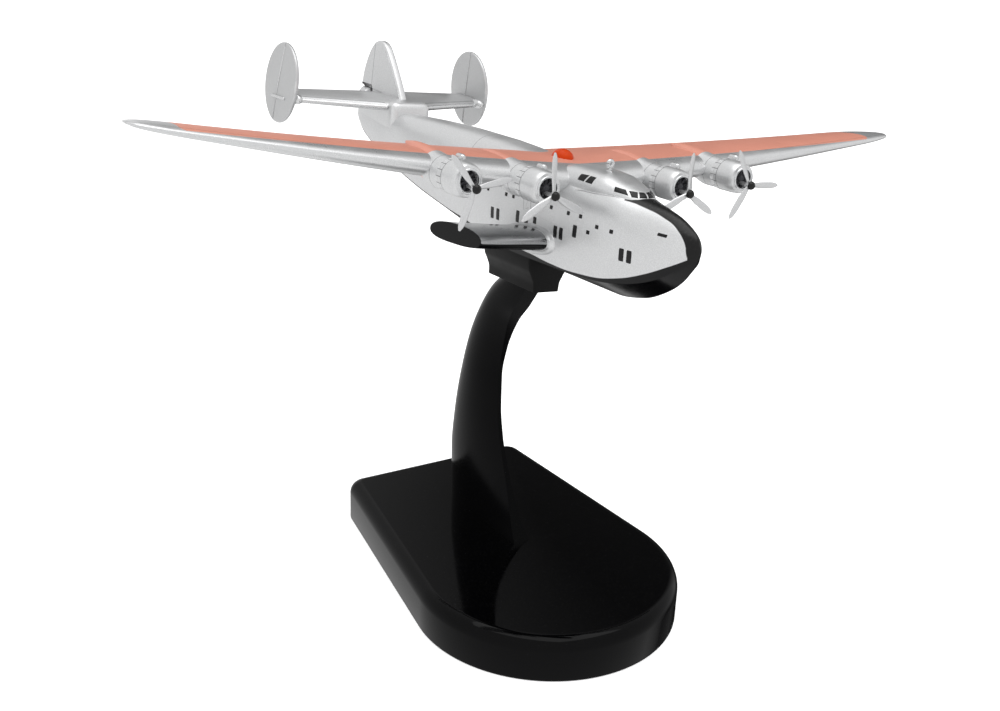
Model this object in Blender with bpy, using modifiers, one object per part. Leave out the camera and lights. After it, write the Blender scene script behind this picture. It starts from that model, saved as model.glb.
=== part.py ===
"""Display model of a four-engined flying boat on a desk stand, in metres, +Z up.

The nose points to -Y and the port wing to +X. The table is at z = 0. The aircraft is
modelled level about the middle of its wing-tip line, and an empty then carries it to
its height and attitude on the stand. The tables of sections are in millimetres.
"""
import math

import bmesh
import bpy
from mathutils import Euler, Matrix, Vector

MM = 0.001
FIT_GAP = 0.05 * MM            # play between neighbouring pieces of so small a model
WELD_DISTANCE = 0.001 * MM

# Stand
BASE_FRONT_RADIUS = 21.5 * MM
BASE_BACK_Y = 40.4 * MM
BASE_BACK_WIDTH = 34.6 * MM
BASE_CORNER_RADIUS = 2.9 * MM
BASE_HEIGHT = 7.3 * MM
BASE_TOP_ROUND = 2.1 * MM
BASE_FOOT_ROUND = 0.4 * MM
CRADLE_FRONT_Y = 2.8 * MM
CRADLE_BACK_Y = 15.6 * MM
CRADLE_CORNER = 0.4 * MM

# Height and attitude of the aircraft on its stand
AIRCRAFT_PLACE = Vector((3.372, 3.555, 77.415)) * MM
NOSE_UP = math.radians(3.96)
BANK = math.radians(6.81)
YAW = math.radians(3.63)

# Engines and propellers
COWL_RISE = 0.65 * MM          # centre of a cowling above its propeller's shaft
COWL_RADIUS = 2.4 * MM
COWL_LENGTH = 5.0 * MM
COWL_MOUTH_RADIUS = 1.6 * MM
COWL_LIP = 0.32 * MM           # width of the rolled lip round the mouth
COWL_RECESS = 1.3 * MM
HUB_TO_LIP = 1.6 * MM
ENGINE_DEPTH = 0.6 * MM        # face of the engine behind the lip
NACELLE_RADIUS = 2.35 * MM
NACELLE_LENGTH = 12.2 * MM
NACELLE_RISE = 2.35 * MM
PROPELLER_RADIUS = 5.85 * MM
BLADES = 3
BLADE_ROOT = 0.2 * MM
HUB_RADIUS = 0.5 * MM
HUB_LENGTH = 0.7 * MM
SHAFT_RADIUS = 0.28 * MM
CAP_RADIUS = 0.65 * MM

# Tail and roof
TAIL_FRONT_Z = -3.9 * MM
TAIL_BACK_Z = -3.1 * MM
BULLET_PLACE = Vector((18.2, 54.0, -3.75)) * MM
FIN_THICKNESS = 1.4 * MM
END_FIN_PLACE = Vector((18.95, 59.15, -1.6)) * MM
END_FIN_CHORD = 12.2 * MM
END_FIN_HEIGHT = 13.6 * MM
END_FIN_THICKNESS = 0.7 * MM
END_FIN_CANT = math.radians(3.5)   # the tops of the end fins lean inwards
DOME_PLACE = Vector((0.0, 2.7, -4.45)) * MM
DOME_RADIUS = 1.45 * MM
DOME_HEIGHT = 0.95 * MM

SILVER = (0.56, 0.57, 0.58)
SIDES = (("starboard", -1.0), ("port", 1.0))


def clear_scene():
    for old in list(bpy.data.objects):
        bpy.data.objects.remove(old, do_unlink=True)


def new_collection(name):
    made = bpy.data.collections.new(name)
    bpy.context.scene.collection.children.link(made)
    return made


def finish(name, colour, roughness, metallic):
    made = bpy.data.materials.new(name)
    made.use_nodes = True
    shader = made.node_tree.nodes["Principled BSDF"]
    shader.inputs["Base Color"].default_value = (*colour, 1.0)
    shader.inputs["Roughness"].default_value = roughness
    shader.inputs["Metallic"].default_value = metallic
    return made


def silver_finish(name):
    return finish("silver_" + name, SILVER, 0.38, 0.85)


def black_finish(name, roughness):
    return finish("black_" + name, (0.013, 0.013, 0.014), roughness, 0.0)


def place_mesh(name, mesh, collection, parent=None, look=None):
    made = bpy.data.objects.new(name, mesh)
    collection.objects.link(made)
    made.parent = parent
    if look:
        mesh.materials.append(look)
    return made


def place_form(name, form, collection, parent=None, look=None):
    """Link a finished bmesh, facing out, as an object with smooth shading."""
    bmesh.ops.recalc_face_normals(form, faces=form.faces)
    mesh = bpy.data.meshes.new(name)
    form.to_mesh(mesh)
    form.free()
    mesh.shade_smooth()
    mesh.set_sharp_from_angle(angle=math.radians(30.0))
    return place_mesh(name, mesh, collection, parent, look)


def as_cutter(made):
    made.hide_render = True
    made.display_type = "WIRE"
    return made


def combine(made, cutter, operation):
    step = made.modifiers.new(operation.lower(), "BOOLEAN")
    step.operation = operation
    step.solver = "EXACT"
    step.object = cutter


def tidy_seams(made):
    """Weld the near-double points that the cuts leave."""
    step = made.modifiers.new("tidy_seams", "WELD")
    step.merge_threshold = WELD_DISTANCE


def mirrored(made):
    """Complete a half that is open at x = 0."""
    step = made.modifiers.new("other_half", "MIRROR")
    step.merge_threshold = WELD_DISTANCE


def rounded(made, width, segments=2):
    step = made.modifiers.new("rounded_edges", "BEVEL")
    step.width = width
    step.segments = segments
    step.limit_method = "ANGLE"
    step.angle_limit = math.radians(40.0)


def loft(rings, looped=True, first_cap=True):
    """Skin rings of equal point count. The last ring is always capped."""
    form = bmesh.new()
    rows = [[form.verts.new(point) for point in ring] for ring in rings]
    count = len(rows[0])
    for near, far in zip(rows, rows[1:]):
        for i in range(count if looped else count - 1):
            j = (i + 1) % count
            form.faces.new((near[i], near[j], far[j], far[i]))
    if first_cap:
        form.faces.new(rows[0])
    form.faces.new(rows[-1])
    return form


def turned(name, profile, collection, parent, place, look, segments=32):
    """Turn a profile of (radius, forward) about the line of flight, from its front to its back."""
    form = bmesh.new()
    points = [form.verts.new((radius, 0.0, forward)) for radius, forward in profile]
    for near, far in zip(points, points[1:]):
        form.edges.new((near, far))
    mesh = bpy.data.meshes.new(name)
    form.to_mesh(mesh)
    form.free()
    made = place_mesh(name, mesh, collection, parent, look)
    made.location = place
    made.rotation_euler = Euler((math.radians(90.0), 0.0, 0.0))
    step = made.modifiers.new("turn", "SCREW")
    step.steps = segments
    step.render_steps = segments
    step.use_merge_vertices = True
    step.merge_threshold = WELD_DISTANCE
    return made


def arc(centre, radius, start, end, steps):
    """Points on an arc, from start to end in degrees."""
    points = []
    for i in range(steps + 1):
        turn = math.radians(start + (end - start) * i / steps)
        points.append((centre[0] + radius * math.cos(turn), centre[1] + radius * math.sin(turn)))
    return points


def outline_mesh(name, outline, thickness):
    """A flat outline thickened by a filled 2D curve, as a welded mesh lying in XY."""
    curve = bpy.data.curves.new(name, "CURVE")
    curve.dimensions = "2D"
    curve.fill_mode = "BOTH"
    curve.extrude = 0.5 * thickness
    spline = curve.splines.new("POLY")
    spline.points.add(len(outline) - 1)
    for point, (u, v) in zip(spline.points, outline):
        point.co = (u, v, 0.0, 1.0)
    spline.use_cyclic_u = True
    drawn = bpy.data.objects.new(name + "_outline", curve)
    bpy.context.scene.collection.objects.link(drawn)
    graph = bpy.context.evaluated_depsgraph_get()
    mesh = bpy.data.meshes.new_from_object(drawn.evaluated_get(graph))
    bpy.data.objects.remove(drawn, do_unlink=True)
    form = bmesh.new()
    form.from_mesh(mesh)
    bmesh.ops.remove_doubles(form, verts=form.verts, dist=WELD_DISTANCE)
    bmesh.ops.dissolve_limit(form, angle_limit=0.01, verts=form.verts, edges=form.edges)
    bmesh.ops.recalc_face_normals(form, faces=form.faces)
    form.to_mesh(mesh)
    form.free()
    return mesh


# Base of the stand

def build_base(parts):
    half_back = 0.5 * BASE_BACK_WIDTH
    taper = math.degrees(math.asin((BASE_FRONT_RADIUS - half_back) / BASE_BACK_Y))
    corner_y = BASE_BACK_Y - BASE_CORNER_RADIUS
    corner_x = half_back - BASE_CORNER_RADIUS
    outline = arc((0.0, 0.0), BASE_FRONT_RADIUS, 180.0 - taper, 360.0 + taper, 44)
    outline += arc((corner_x, corner_y), BASE_CORNER_RADIUS, taper, 90.0, 6)
    outline += arc((-corner_x, corner_y), BASE_CORNER_RADIUS, 90.0, 180.0 - taper, 6)
    mesh = outline_mesh("stand_base", outline, BASE_HEIGHT)
    mesh.transform(Matrix.Translation((0.0, 0.0, 0.5 * BASE_HEIGHT)))
    rim = mesh.attributes.new("bevel_weight_edge", "FLOAT", "EDGE")
    for edge in mesh.edges:
        heights = [mesh.vertices[i].co.z for i in edge.vertices]
        if min(heights) > 0.9 * BASE_HEIGHT:
            rim.data[edge.index].value = 1.0
        elif max(heights) < 0.1 * BASE_HEIGHT:
            rim.data[edge.index].value = BASE_FOOT_ROUND / BASE_TOP_ROUND
    mesh.shade_smooth()
    base = place_mesh("stand_base", mesh, parts, None, black_finish("gloss_base", 0.12))
    step = base.modifiers.new("rounded_rim", "BEVEL")
    step.width = BASE_TOP_ROUND
    step.segments = 5
    step.limit_method = "WEIGHT"


# Arm of the stand: front edge y and z, back edge y and z, width, width of the front ridge
ARM_SECTIONS = [
    (7.4, 7.3, 31.3, 7.3, 5.1, 2.8),
    (9.2, 9.6, 31.4, 9.6, 4.9, 2.1),
    (12.7, 16.3, 31.6, 15.3, 4.7, 0.9),
    (15.5, 23.2, 30.7, 21.8, 4.6, 0.7),
    (16.4, 28.5, 29.3, 27.9, 4.6, 0.6),
    (16.5, 33.8, 27.5, 33.6, 4.6, 0.6),
    (15.4, 39.2, 25.2, 39.4, 4.6, 0.9),
    (13.2, 44.5, 21.8, 45.2, 4.7, 1.9),
    (10.5, 48.3, 18.4, 49.6, 4.5, 2.9),
    (6.4, 53.6, 13.0, 53.9, 4.1, 2.7),
]
ARM_WIDEST = 0.6               # share of the way from the front ridge to the back
ARM_SIDE_STEPS = 4
ARM_BACK_STEPS = 6


def arm_half_section(front, back, width, ridge):
    """Flat front ridge, sides swelling to the widest point, and an elliptical back."""
    half = [(0.0, 0.0), (0.5 * ridge, 0.0)]
    for i in range(1, ARM_SIDE_STEPS + 1):
        share = i / ARM_SIDE_STEPS
        swell = math.sin(0.5 * math.pi * share)
        half.append((0.5 * (ridge + (width - ridge) * swell), ARM_WIDEST * share))
    for i in range(1, ARM_BACK_STEPS):
        turn = 0.5 * math.pi * i / ARM_BACK_STEPS
        half.append((0.5 * width * math.cos(turn), ARM_WIDEST + (1.0 - ARM_WIDEST) * math.sin(turn)))
    half.append((0.0, 1.0))
    return [front.lerp(back, share) + Vector((across, 0.0, 0.0)) for across, share in half]


def build_arm(parts, cradle_form):
    rings = []
    for section in ARM_SECTIONS:
        front_y, front_z, back_y, back_z, width, ridge = [value * MM for value in section]
        front = Vector((0.0, front_y, front_z))
        back = Vector((0.0, back_y, back_z))
        rings.append(arm_half_section(front, back, width, ridge))
    for point in rings[0]:
        point.z = BASE_HEIGHT + FIT_GAP
    arm = place_form("stand_arm", loft(rings, looped=False), parts, None, black_finish("satin_arm", 0.25))
    mirrored(arm)
    combine(arm, cradle_form, "DIFFERENCE")
    tidy_seams(arm)


# Cradle between the arm and the hull: z and half width of each level
CRADLE_LEVELS = [(-24.9, 2.3), (-23.7, 2.4), (-22.5, 2.9), (-21.3, 3.5), (-19.8, 3.7), (-17.5, 3.7)]


def cradle_form(grow=0.0):
    front = CRADLE_FRONT_Y - grow
    back = CRADLE_BACK_Y + grow
    rings = []
    for level, half_width in CRADLE_LEVELS:
        z = level * MM
        edge = half_width * MM + grow
        half = [(0.0, front), (edge - CRADLE_CORNER, front), (edge, front + CRADLE_CORNER),
                (edge, back - CRADLE_CORNER), (edge - CRADLE_CORNER, back), (0.0, back)]
        rings.append([Vector((x, y, z)) for x, y in half])
    for point in rings[0]:
        point.z -= grow
    return loft(rings, looped=False)


# Hull: y, keel z, chine z, deck z, half beam, half beam at the chine
HULL_SECTIONS = [
    (-29.4, -12.3, -11.7, -10.2, 0.6, 0.4),
    (-28.8, -13.6, -12.7, -9.1, 1.2, 0.8),
    (-27.2, -15.7, -14.1, -7.9, 2.0, 1.5),
    (-24.4, -17.8, -16.0, -6.8, 2.9, 2.5),
    (-20.0, -19.8, -17.6, -5.9, 3.9, 3.6),
    (-14.0, -20.8, -18.6, -5.2, 4.9, 4.5),
    (-6.0, -20.8, -18.9, -5.0, 5.5, 5.0),
    (5.0, -20.7, -19.0, -5.0, 5.6, 5.2),
    (10.0, -20.6, -19.0, -4.2, 5.6, 5.1),
    (16.0, -20.4, -18.8, -3.95, 5.5, 5.0),
    (16.4, -19.4, -18.1, -3.95, 5.5, 4.9),
    (26.0, -18.2, -16.8, -3.95, 5.2, 4.4),
    (36.0, -17.0, -15.5, -4.2, 4.7, 3.8),
    (46.0, -15.2, -13.8, -4.7, 4.1, 3.0),
    (56.0, -12.8, -11.5, -5.0, 3.0, 2.0),
    (62.0, -11.0, -9.9, -5.3, 1.9, 1.1),
    (65.2, -9.0, -8.4, -5.9, 0.7, 0.4),
]
HULL_TOP_STEPS = 8
HULL_SQUARENESS = 0.72
HULL_WIDEST = 0.4              # height of the widest line, as a share from the chine to the deck


def hull_half_section(y, keel, chine, deck, beam, chine_beam, grow):
    """Vee bottom out to the chine, then a side that rounds into the deck."""
    middle = chine + HULL_WIDEST * (deck - chine)
    half = [(0.0, keel - grow), (chine_beam + grow, chine - grow)]
    half.append((0.5 * (chine_beam + beam) + grow, 0.5 * (chine + middle)))
    for i in range(HULL_TOP_STEPS):
        turn = 0.5 * math.pi * i / HULL_TOP_STEPS
        across = (beam + grow) * math.cos(turn) ** HULL_SQUARENESS
        half.append((across, middle + (deck + grow - middle) * math.sin(turn) ** HULL_SQUARENESS))
    half.append((0.0, deck + grow))
    return [Vector((x, y, z)) for x, z in half]


def hull_form(grow=0.0):
    rings = []
    for section in HULL_SECTIONS:
        y, keel, chine, deck, beam, chine_beam = [value * MM for value in section]
        rings.append(hull_half_section(y, keel, chine, deck, beam, chine_beam, grow))
    for point in rings[0]:
        point.y -= grow
    for point in rings[-1]:
        point.y += grow
    return loft(rings, looped=False)


# Flight deck on the hull's shoulders: y, sill z, roof z, half width
FLIGHT_DECK_SECTIONS = [
    (-18.2, -6.6, -5.9, 1.6),
    (-17.0, -6.6, -4.6, 3.0),
    (-15.4, -6.6, -4.0, 3.6),
    (-11.0, -6.6, -3.9, 4.0),
    (-5.0, -6.6, -4.1, 4.2),
    (0.2, -6.6, -5.0, 4.3),
]
ROOF_STEPS = 6
ROOF_SQUARENESS = 0.6


def flight_deck_form():
    rings = []
    for section in FLIGHT_DECK_SECTIONS:
        y, sill, roof, half_width = [value * MM for value in section]
        ring = [Vector((0.0, y, sill))]
        for i in range(ROOF_STEPS):
            turn = 0.5 * math.pi * i / ROOF_STEPS
            across = half_width * math.cos(turn) ** ROOF_SQUARENESS
            ring.append(Vector((across, y, sill + (roof - sill) * math.sin(turn) ** ROOF_SQUARENESS)))
        ring.append(Vector((0.0, y, roof)))
        rings.append(ring)
    return loft(rings, looped=False)


# Wing: x, leading edge y, trailing edge y, chord plane z, thickness
WING_SECTIONS = [
    (0.0, -5.81, 21.89, -6.92, 5.27),
    (6.0, -5.41, 20.43, -6.44, 4.88),
    (12.0, -5.01, 18.97, -5.92, 4.49),
    (24.0, -4.22, 16.06, -4.81, 3.72),
    (40.0, -3.16, 12.17, -3.15, 2.68),
    (54.0, -2.23, 8.77, -1.53, 1.78),
    (61.0, -1.77, 7.0, -0.67, 1.33),
    (63.8, -1.3, 5.5, -0.3, 1.05),
    (65.4, -0.6, 3.9, -0.1, 0.7),
    (66.2, 0.8, 2.4, 0.0, 0.3),
]
FOIL_STEPS = 9
TRAILING_EDGE = 0.05           # thickness of the blunt trailing edge, as a share of the whole


def foil_ring(x, front, back, thickness, grow=0.0):
    """A wing section between its front and back points (y, z), grown all round."""
    ring = []
    for i in range(2 * FOIL_STEPS + 1):
        side = i - FOIL_STEPS
        chord = 0.5 * (1.0 - math.cos(math.pi * abs(side) / FOIL_STEPS))
        bulge = 1.4845 * math.sqrt(chord) - 0.63 * chord - 1.758 * chord ** 2
        bulge += 1.4215 * chord ** 3 - 0.5075 * chord ** 4 + 0.5 * TRAILING_EDGE * chord
        y = front[0] - grow + (back[0] - front[0] + 2.0 * grow) * chord
        z = front[1] + (back[1] - front[1]) * chord
        ring.append(Vector((x, y, z + math.copysign(bulge, side) * (thickness + 2.0 * grow))))
    return ring


def wing_form(grow=0.0):
    rings = []
    for section in WING_SECTIONS:
        x, front, back, z, thickness = [value * MM for value in section]
        rings.append(foil_ring(x, (front, z), (back, z), thickness, grow))
    return loft(rings, first_cap=False)


# Sponson: distance from the centre, leading edge y, trailing edge y, middle z, thickness
SPONSON_SECTIONS = [
    (4.2, -4.6, 11.6, -15.0, 4.6),
    (5.7, -4.5, 11.2, -15.0, 4.2),
    (6.4, -4.2, 10.6, -15.05, 3.7),
    (16.7, -3.6, 10.1, -15.7, 3.2),
    (17.5, -3.1, 9.7, -15.75, 2.5),
]
SPONSON_STEPS = 20
SPONSON_SQUARENESS = 0.8


def rounded_box_point(turn, power):
    """A point at an angle on a unit circle that is squared off by the power."""
    across = math.copysign(abs(math.cos(turn)) ** power, math.cos(turn))
    up = math.copysign(abs(math.sin(turn)) ** power, math.sin(turn))
    return across, up


def sponson_form(side):
    rings = []
    for section in SPONSON_SECTIONS:
        x, front, back, z, thickness = [value * MM for value in section]
        ring = []
        for i in range(SPONSON_STEPS):
            along, up = rounded_box_point(2.0 * math.pi * i / SPONSON_STEPS, SPONSON_SQUARENESS)
            y = 0.5 * (front + back) + 0.5 * (back - front) * along
            ring.append(Vector((side * x, y, z + 0.5 * thickness * up)))
        rings.append(ring)
    return loft(rings)


# Tailplane: x, leading edge y, trailing edge y, thickness
TAILPLANE_SECTIONS = [
    (0.0, 47.2, 63.4, 2.2),
    (5.0, 49.2, 63.4, 2.1),
    (17.5, 54.3, 63.4, 1.5),
    (18.75, 55.0, 63.4, 1.4),
]
# Bullet on the inner face of an end fin: radius, forward of its middle
BULLET_PROFILE = [(0.0, 0.75), (0.3, 0.65), (0.55, 0.3), (0.65, -0.3), (0.6, -2.5), (0.35, -6.5), (0.0, -7.6)]


def tailplane_form(grow=0.0):
    rings = []
    for section in TAILPLANE_SECTIONS:
        x, front, back, thickness = [value * MM for value in section]
        rings.append(foil_ring(x, (front, TAIL_FRONT_Z), (back, TAIL_BACK_Z), thickness, grow))
    return loft(rings, first_cap=False)


# Raised block of the hull under the tailplane: y, half width, top z, bottom z
TAIL_BLOCK_SECTIONS = [
    (47.0, 3.3, -3.3, -7.3),
    (47.3, 3.7, -3.05, -7.3),
    (48.2, 3.8, -2.95, -7.3),
    (52.0, 3.35, -3.5, -7.2),
    (60.6, 2.1, -3.6, -6.8),
    (61.2, 1.95, -2.3, -6.7),
    (64.6, 1.0, -2.3, -6.6),
    (65.1, 0.7, -2.7, -6.5),
]
TAIL_BLOCK_ROUND = 0.6 * MM


def tail_block_form():
    rings = []
    for section in TAIL_BLOCK_SECTIONS:
        y, edge, top, bottom = [value * MM for value in section]
        corner = arc((edge - TAIL_BLOCK_ROUND, top - TAIL_BLOCK_ROUND), TAIL_BLOCK_ROUND, 0.0, 90.0, 3)
        half = [(0.0, bottom), (edge, bottom)] + corner + [(0.0, top)]
        rings.append([Vector((x, y, z)) for x, z in half])
    return loft(rings, looped=False)


# Centre fin, side outline: y, z from the foot of its leading edge round to the rudder's foot
FIN_OUTLINE = [(49.5, -3.6), (52.3, 0.4), (55.3, 4.1), (57.1, 5.8), (59.0, 6.3), (60.8, 5.8),
               (62.6, 3.9), (64.1, 0.8), (64.7, -2.0), (60.8, -2.0), (60.6, -3.6)]


def fin_mesh(name):
    """The outline is drawn in XY and stood up, so that its X runs aft and its Y upwards."""
    mesh = outline_mesh(name, [(y * MM, z * MM) for y, z in FIN_OUTLINE], FIN_THICKNESS)
    mesh.transform(Matrix(((0, 0, 1, 0), (1, 0, 0, 0), (0, 1, 0, 0), (0, 0, 0, 1))))
    mesh.shade_smooth()
    return mesh


def end_fin_form(side, grow=0.0):
    form = bmesh.new()
    bmesh.ops.create_cone(form, cap_ends=True, segments=36, radius1=0.5, radius2=0.5, depth=1.0)
    bmesh.ops.rotate(form, verts=form.verts, matrix=Matrix.Rotation(math.radians(90.0), 3, "Y"))
    size = Vector((END_FIN_THICKNESS, END_FIN_CHORD, END_FIN_HEIGHT)) + 2.0 * grow * Vector((1.0, 1.0, 1.0))
    bmesh.ops.scale(form, verts=form.verts, vec=size)
    bmesh.ops.rotate(form, verts=form.verts, matrix=Matrix.Rotation(-side * END_FIN_CANT, 3, "Y"))
    bmesh.ops.translate(form, verts=form.verts, vec=END_FIN_PLACE * Vector((side, 1.0, 1.0)))
    return form


def build_tail(parts, cutters, aircraft, hull_cutter):
    tail_cutter = as_cutter(place_form("tailplane_way", tailplane_form(FIT_GAP), cutters, aircraft))
    mirrored(tail_cutter)

    tailplane = place_form("tailplane", tailplane_form(), parts, aircraft, silver_finish("tailplane"))
    mirrored(tailplane)
    for word, side in SIDES:
        place = BULLET_PLACE * Vector((side, 1.0, 1.0))
        profile = [(radius * MM, forward * MM) for radius, forward in BULLET_PROFILE]
        bullet = turned("bullet_form_" + word, profile, cutters, aircraft, place, None, segments=16)
        combine(tailplane, as_cutter(bullet), "UNION")
        fin_cutter = place_form("end_fin_way_" + word, end_fin_form(side, FIT_GAP), cutters, aircraft)
        combine(tailplane, as_cutter(fin_cutter), "DIFFERENCE")
    tidy_seams(tailplane)

    block = place_form("tail_fairing", tail_block_form(), parts, aircraft, silver_finish("tail_fairing"))
    mirrored(block)
    combine(block, hull_cutter, "DIFFERENCE")
    combine(block, tail_cutter, "DIFFERENCE")
    tidy_seams(block)

    fin = place_mesh("centre_fin", fin_mesh("centre_fin"), parts, aircraft, silver_finish("centre_fin"))
    rounded(fin, 0.2 * MM)
    combine(fin, tail_cutter, "DIFFERENCE")
    tidy_seams(fin)

    for word, side in SIDES:
        name = "end_fin_" + word
        end_fin = place_form(name, end_fin_form(side), parts, aircraft, silver_finish(name))
        rounded(end_fin, 0.22 * MM)


def dome_form():
    form = bmesh.new()
    bmesh.ops.create_uvsphere(form, u_segments=20, v_segments=10, radius=DOME_RADIUS)
    bmesh.ops.scale(form, verts=form.verts, vec=(1.0, 1.0, DOME_HEIGHT / DOME_RADIUS))
    bmesh.ops.bisect_plane(form, geom=form.verts[:] + form.edges[:] + form.faces[:],
                           plane_co=(0.0, 0.0, 0.0), plane_no=(0.0, 0.0, -1.0), clear_outer=True)
    bmesh.ops.holes_fill(form, edges=form.edges)
    bmesh.ops.translate(form, verts=form.verts, vec=DOME_PLACE)
    return form


def build_airframe(parts, cutters, aircraft, hull_cutter, wing_cutter):
    deck_form = as_cutter(place_form("flight_deck_form", flight_deck_form(), cutters, aircraft))
    mirrored(deck_form)

    hull = place_form("hull", hull_form(), parts, aircraft, silver_finish("hull"))
    mirrored(hull)
    combine(hull, deck_form, "UNION")
    combine(hull, wing_cutter, "DIFFERENCE")
    tidy_seams(hull)

    wing = place_form("wing", wing_form(), parts, aircraft, silver_finish("wing"))
    mirrored(wing)

    for word, side in SIDES:
        name = "sponson_" + word
        sponson = place_form(name, sponson_form(side), parts, aircraft, silver_finish(name))
        combine(sponson, hull_cutter, "DIFFERENCE")
        tidy_seams(sponson)

    dome = place_form("roof_dome", dome_form(), parts, aircraft,
                      finish("orange_dome", (0.85, 0.14, 0.03), 0.15, 0.0))
    combine(dome, wing_cutter, "DIFFERENCE")
    tidy_seams(dome)

    cradle = place_form("stand_cradle", cradle_form(), parts, aircraft, black_finish("matt_cradle", 0.5))
    mirrored(cradle)
    combine(cradle, hull_cutter, "DIFFERENCE")
    tidy_seams(cradle)


# Engines: name, x, shaft z, hub y, angle of the first blade clockwise from up, seen from the front
ENGINES = [
    ("starboard_outer", -24.2, -5.9, -12.2, -46.0),
    ("starboard_inner", -11.9, -6.9, -12.8, -11.0),
    ("port_inner", 11.9, -6.9, -12.8, 1.0),
    ("port_outer", 24.2, -5.9, -12.2, -31.0),
]
# Nacelle behind a cowling: share of its length, share of its radius, share of its rise
NACELLE_SECTIONS = [(0.0, 0.97, 0.0), (0.2, 1.0, 0.02), (0.4, 0.93, 0.2), (0.6, 0.74, 0.48),
                    (0.8, 0.46, 0.76), (1.0, 0.08, 1.0)]
NACELLE_STEPS = 24
# Blade: share of the way from root to tip, width, thickness, pitch in degrees
BLADE_SECTIONS = [(0.0, 0.7, 0.5, 50.0), (0.14, 0.95, 0.42, 44.0), (0.4, 1.3, 0.34, 33.0),
                  (0.7, 1.3, 0.26, 25.0), (0.9, 0.95, 0.2, 21.0), (1.0, 0.35, 0.14, 19.0)]
BLADE_STEPS = 8


def cowling(name, place, parts, aircraft):
    """A closed cup: recess floor, mouth wall, rolled lip, and the barrel back to its flat rear."""
    floor = -COWL_RECESS
    mouth = COWL_MOUTH_RADIUS
    profile = [(0.0, floor), (mouth, floor), (mouth, -COWL_LIP)]
    profile += [(mouth + 0.4 * COWL_LIP, -0.2 * COWL_LIP), (mouth + COWL_LIP, 0.0)]
    profile += [(COWL_RADIUS - 0.32 * MM, -0.25 * MM), (COWL_RADIUS - 0.1 * MM, -0.8 * MM)]
    profile += [(COWL_RADIUS, -1.8 * MM), (COWL_RADIUS, 0.9 * MM - COWL_LENGTH)]
    profile += [(COWL_RADIUS - 0.12 * MM, -COWL_LENGTH), (0.0, -COWL_LENGTH)]
    turned(name, profile, parts, aircraft, place, silver_finish(name), segments=28)


def engine_face(name, place, parts, aircraft):
    radius = COWL_MOUTH_RADIUS - FIT_GAP
    back = FIT_GAP - COWL_RECESS
    profile = [(0.0, -ENGINE_DEPTH), (0.8 * radius, -ENGINE_DEPTH), (radius, -ENGINE_DEPTH - 0.1 * MM),
               (radius, back), (0.0, back)]
    turned(name, profile, parts, aircraft, place, finish("dark_" + name, (0.05, 0.05, 0.055), 0.5, 0.6),
           segments=20)


def nacelle_form(place):
    rings = []
    for along, size, rise in NACELLE_SECTIONS:
        y = place.y + COWL_LENGTH + FIT_GAP + NACELLE_LENGTH * along
        ring = []
        for i in range(NACELLE_STEPS):
            turn = 2.0 * math.pi * i / NACELLE_STEPS
            x = place.x + NACELLE_RADIUS * size * math.cos(turn)
            ring.append(Vector((x, y, place.z + NACELLE_RISE * rise + NACELLE_RADIUS * size * math.sin(turn))))
        rings.append(ring)
    return loft(rings)


def blade_form():
    """One blade standing up from the hub's centre, twisted towards its tip."""
    rings = []
    for share, width, thickness, pitch in BLADE_SECTIONS:
        z = BLADE_ROOT + (PROPELLER_RADIUS - BLADE_ROOT) * share
        twist = Matrix.Rotation(math.radians(pitch), 3, "Z")
        ring = []
        for i in range(BLADE_STEPS):
            turn = 2.0 * math.pi * i / BLADE_STEPS
            flat = Vector((0.5 * width * MM * math.cos(turn), 0.5 * thickness * MM * math.sin(turn), z))
            ring.append(twist @ flat)
        rings.append(ring)
    return loft(rings)


def propeller(name, place, first_angle, parts, cutters, aircraft):
    """Hub, shaft, blades and cap on an empty at the hub, so that they turn together."""
    axis = bpy.data.objects.new(name + "_axis", None)
    parts.objects.link(axis)
    axis.parent = aircraft
    axis.location = place
    axis.rotation_euler = Euler((0.0, math.radians(first_angle), 0.0))

    shaft_end = FIT_GAP - HUB_TO_LIP - ENGINE_DEPTH
    profile = [(0.0, 0.0), (HUB_RADIUS, 0.0), (HUB_RADIUS, -HUB_LENGTH), (SHAFT_RADIUS, -HUB_LENGTH),
               (SHAFT_RADIUS, shaft_end), (0.0, shaft_end)]
    centre = Vector((0.0, 0.0, 0.0))
    blades = turned(name + "_blades", profile, parts, axis, centre, silver_finish(name + "_blades"), segments=16)
    for i in range(BLADES):
        blade = as_cutter(place_form("%s_blade_%d" % (name, i + 1), blade_form(), cutters, axis))
        blade.location = (0.0, 0.5 * HUB_LENGTH, 0.0)
        blade.rotation_euler = Euler((0.0, 2.0 * math.pi * i / BLADES, 0.0))
        combine(blades, blade, "UNION")
    tidy_seams(blades)

    cap = [(CAP_RADIUS * x, FIT_GAP + CAP_RADIUS * y) for x, y in arc((0.0, 0.0), 1.0, 90.0, 0.0, 5)]
    cap[0] = (0.0, FIT_GAP + CAP_RADIUS)
    cap.append((0.0, FIT_GAP))
    turned(name + "_cap", cap, parts, axis, centre, black_finish(name + "_cap", 0.3), segments=16)


def build_engines(parts, cutters, aircraft, wing_cutter):
    for word, x, z, y, first_angle in ENGINES:
        hub = Vector((x, y, z)) * MM
        mouth = hub + Vector((0.0, HUB_TO_LIP, COWL_RISE))
        cowling("cowling_" + word, mouth, parts, aircraft)
        engine_face("engine_" + word, mouth, parts, aircraft)
        name = "nacelle_" + word
        nacelle = place_form(name, nacelle_form(mouth), parts, aircraft, silver_finish(name))
        combine(nacelle, wing_cutter, "DIFFERENCE")
        tidy_seams(nacelle)
        propeller("propeller_" + word, hub, first_angle, parts, cutters, aircraft)


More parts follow.
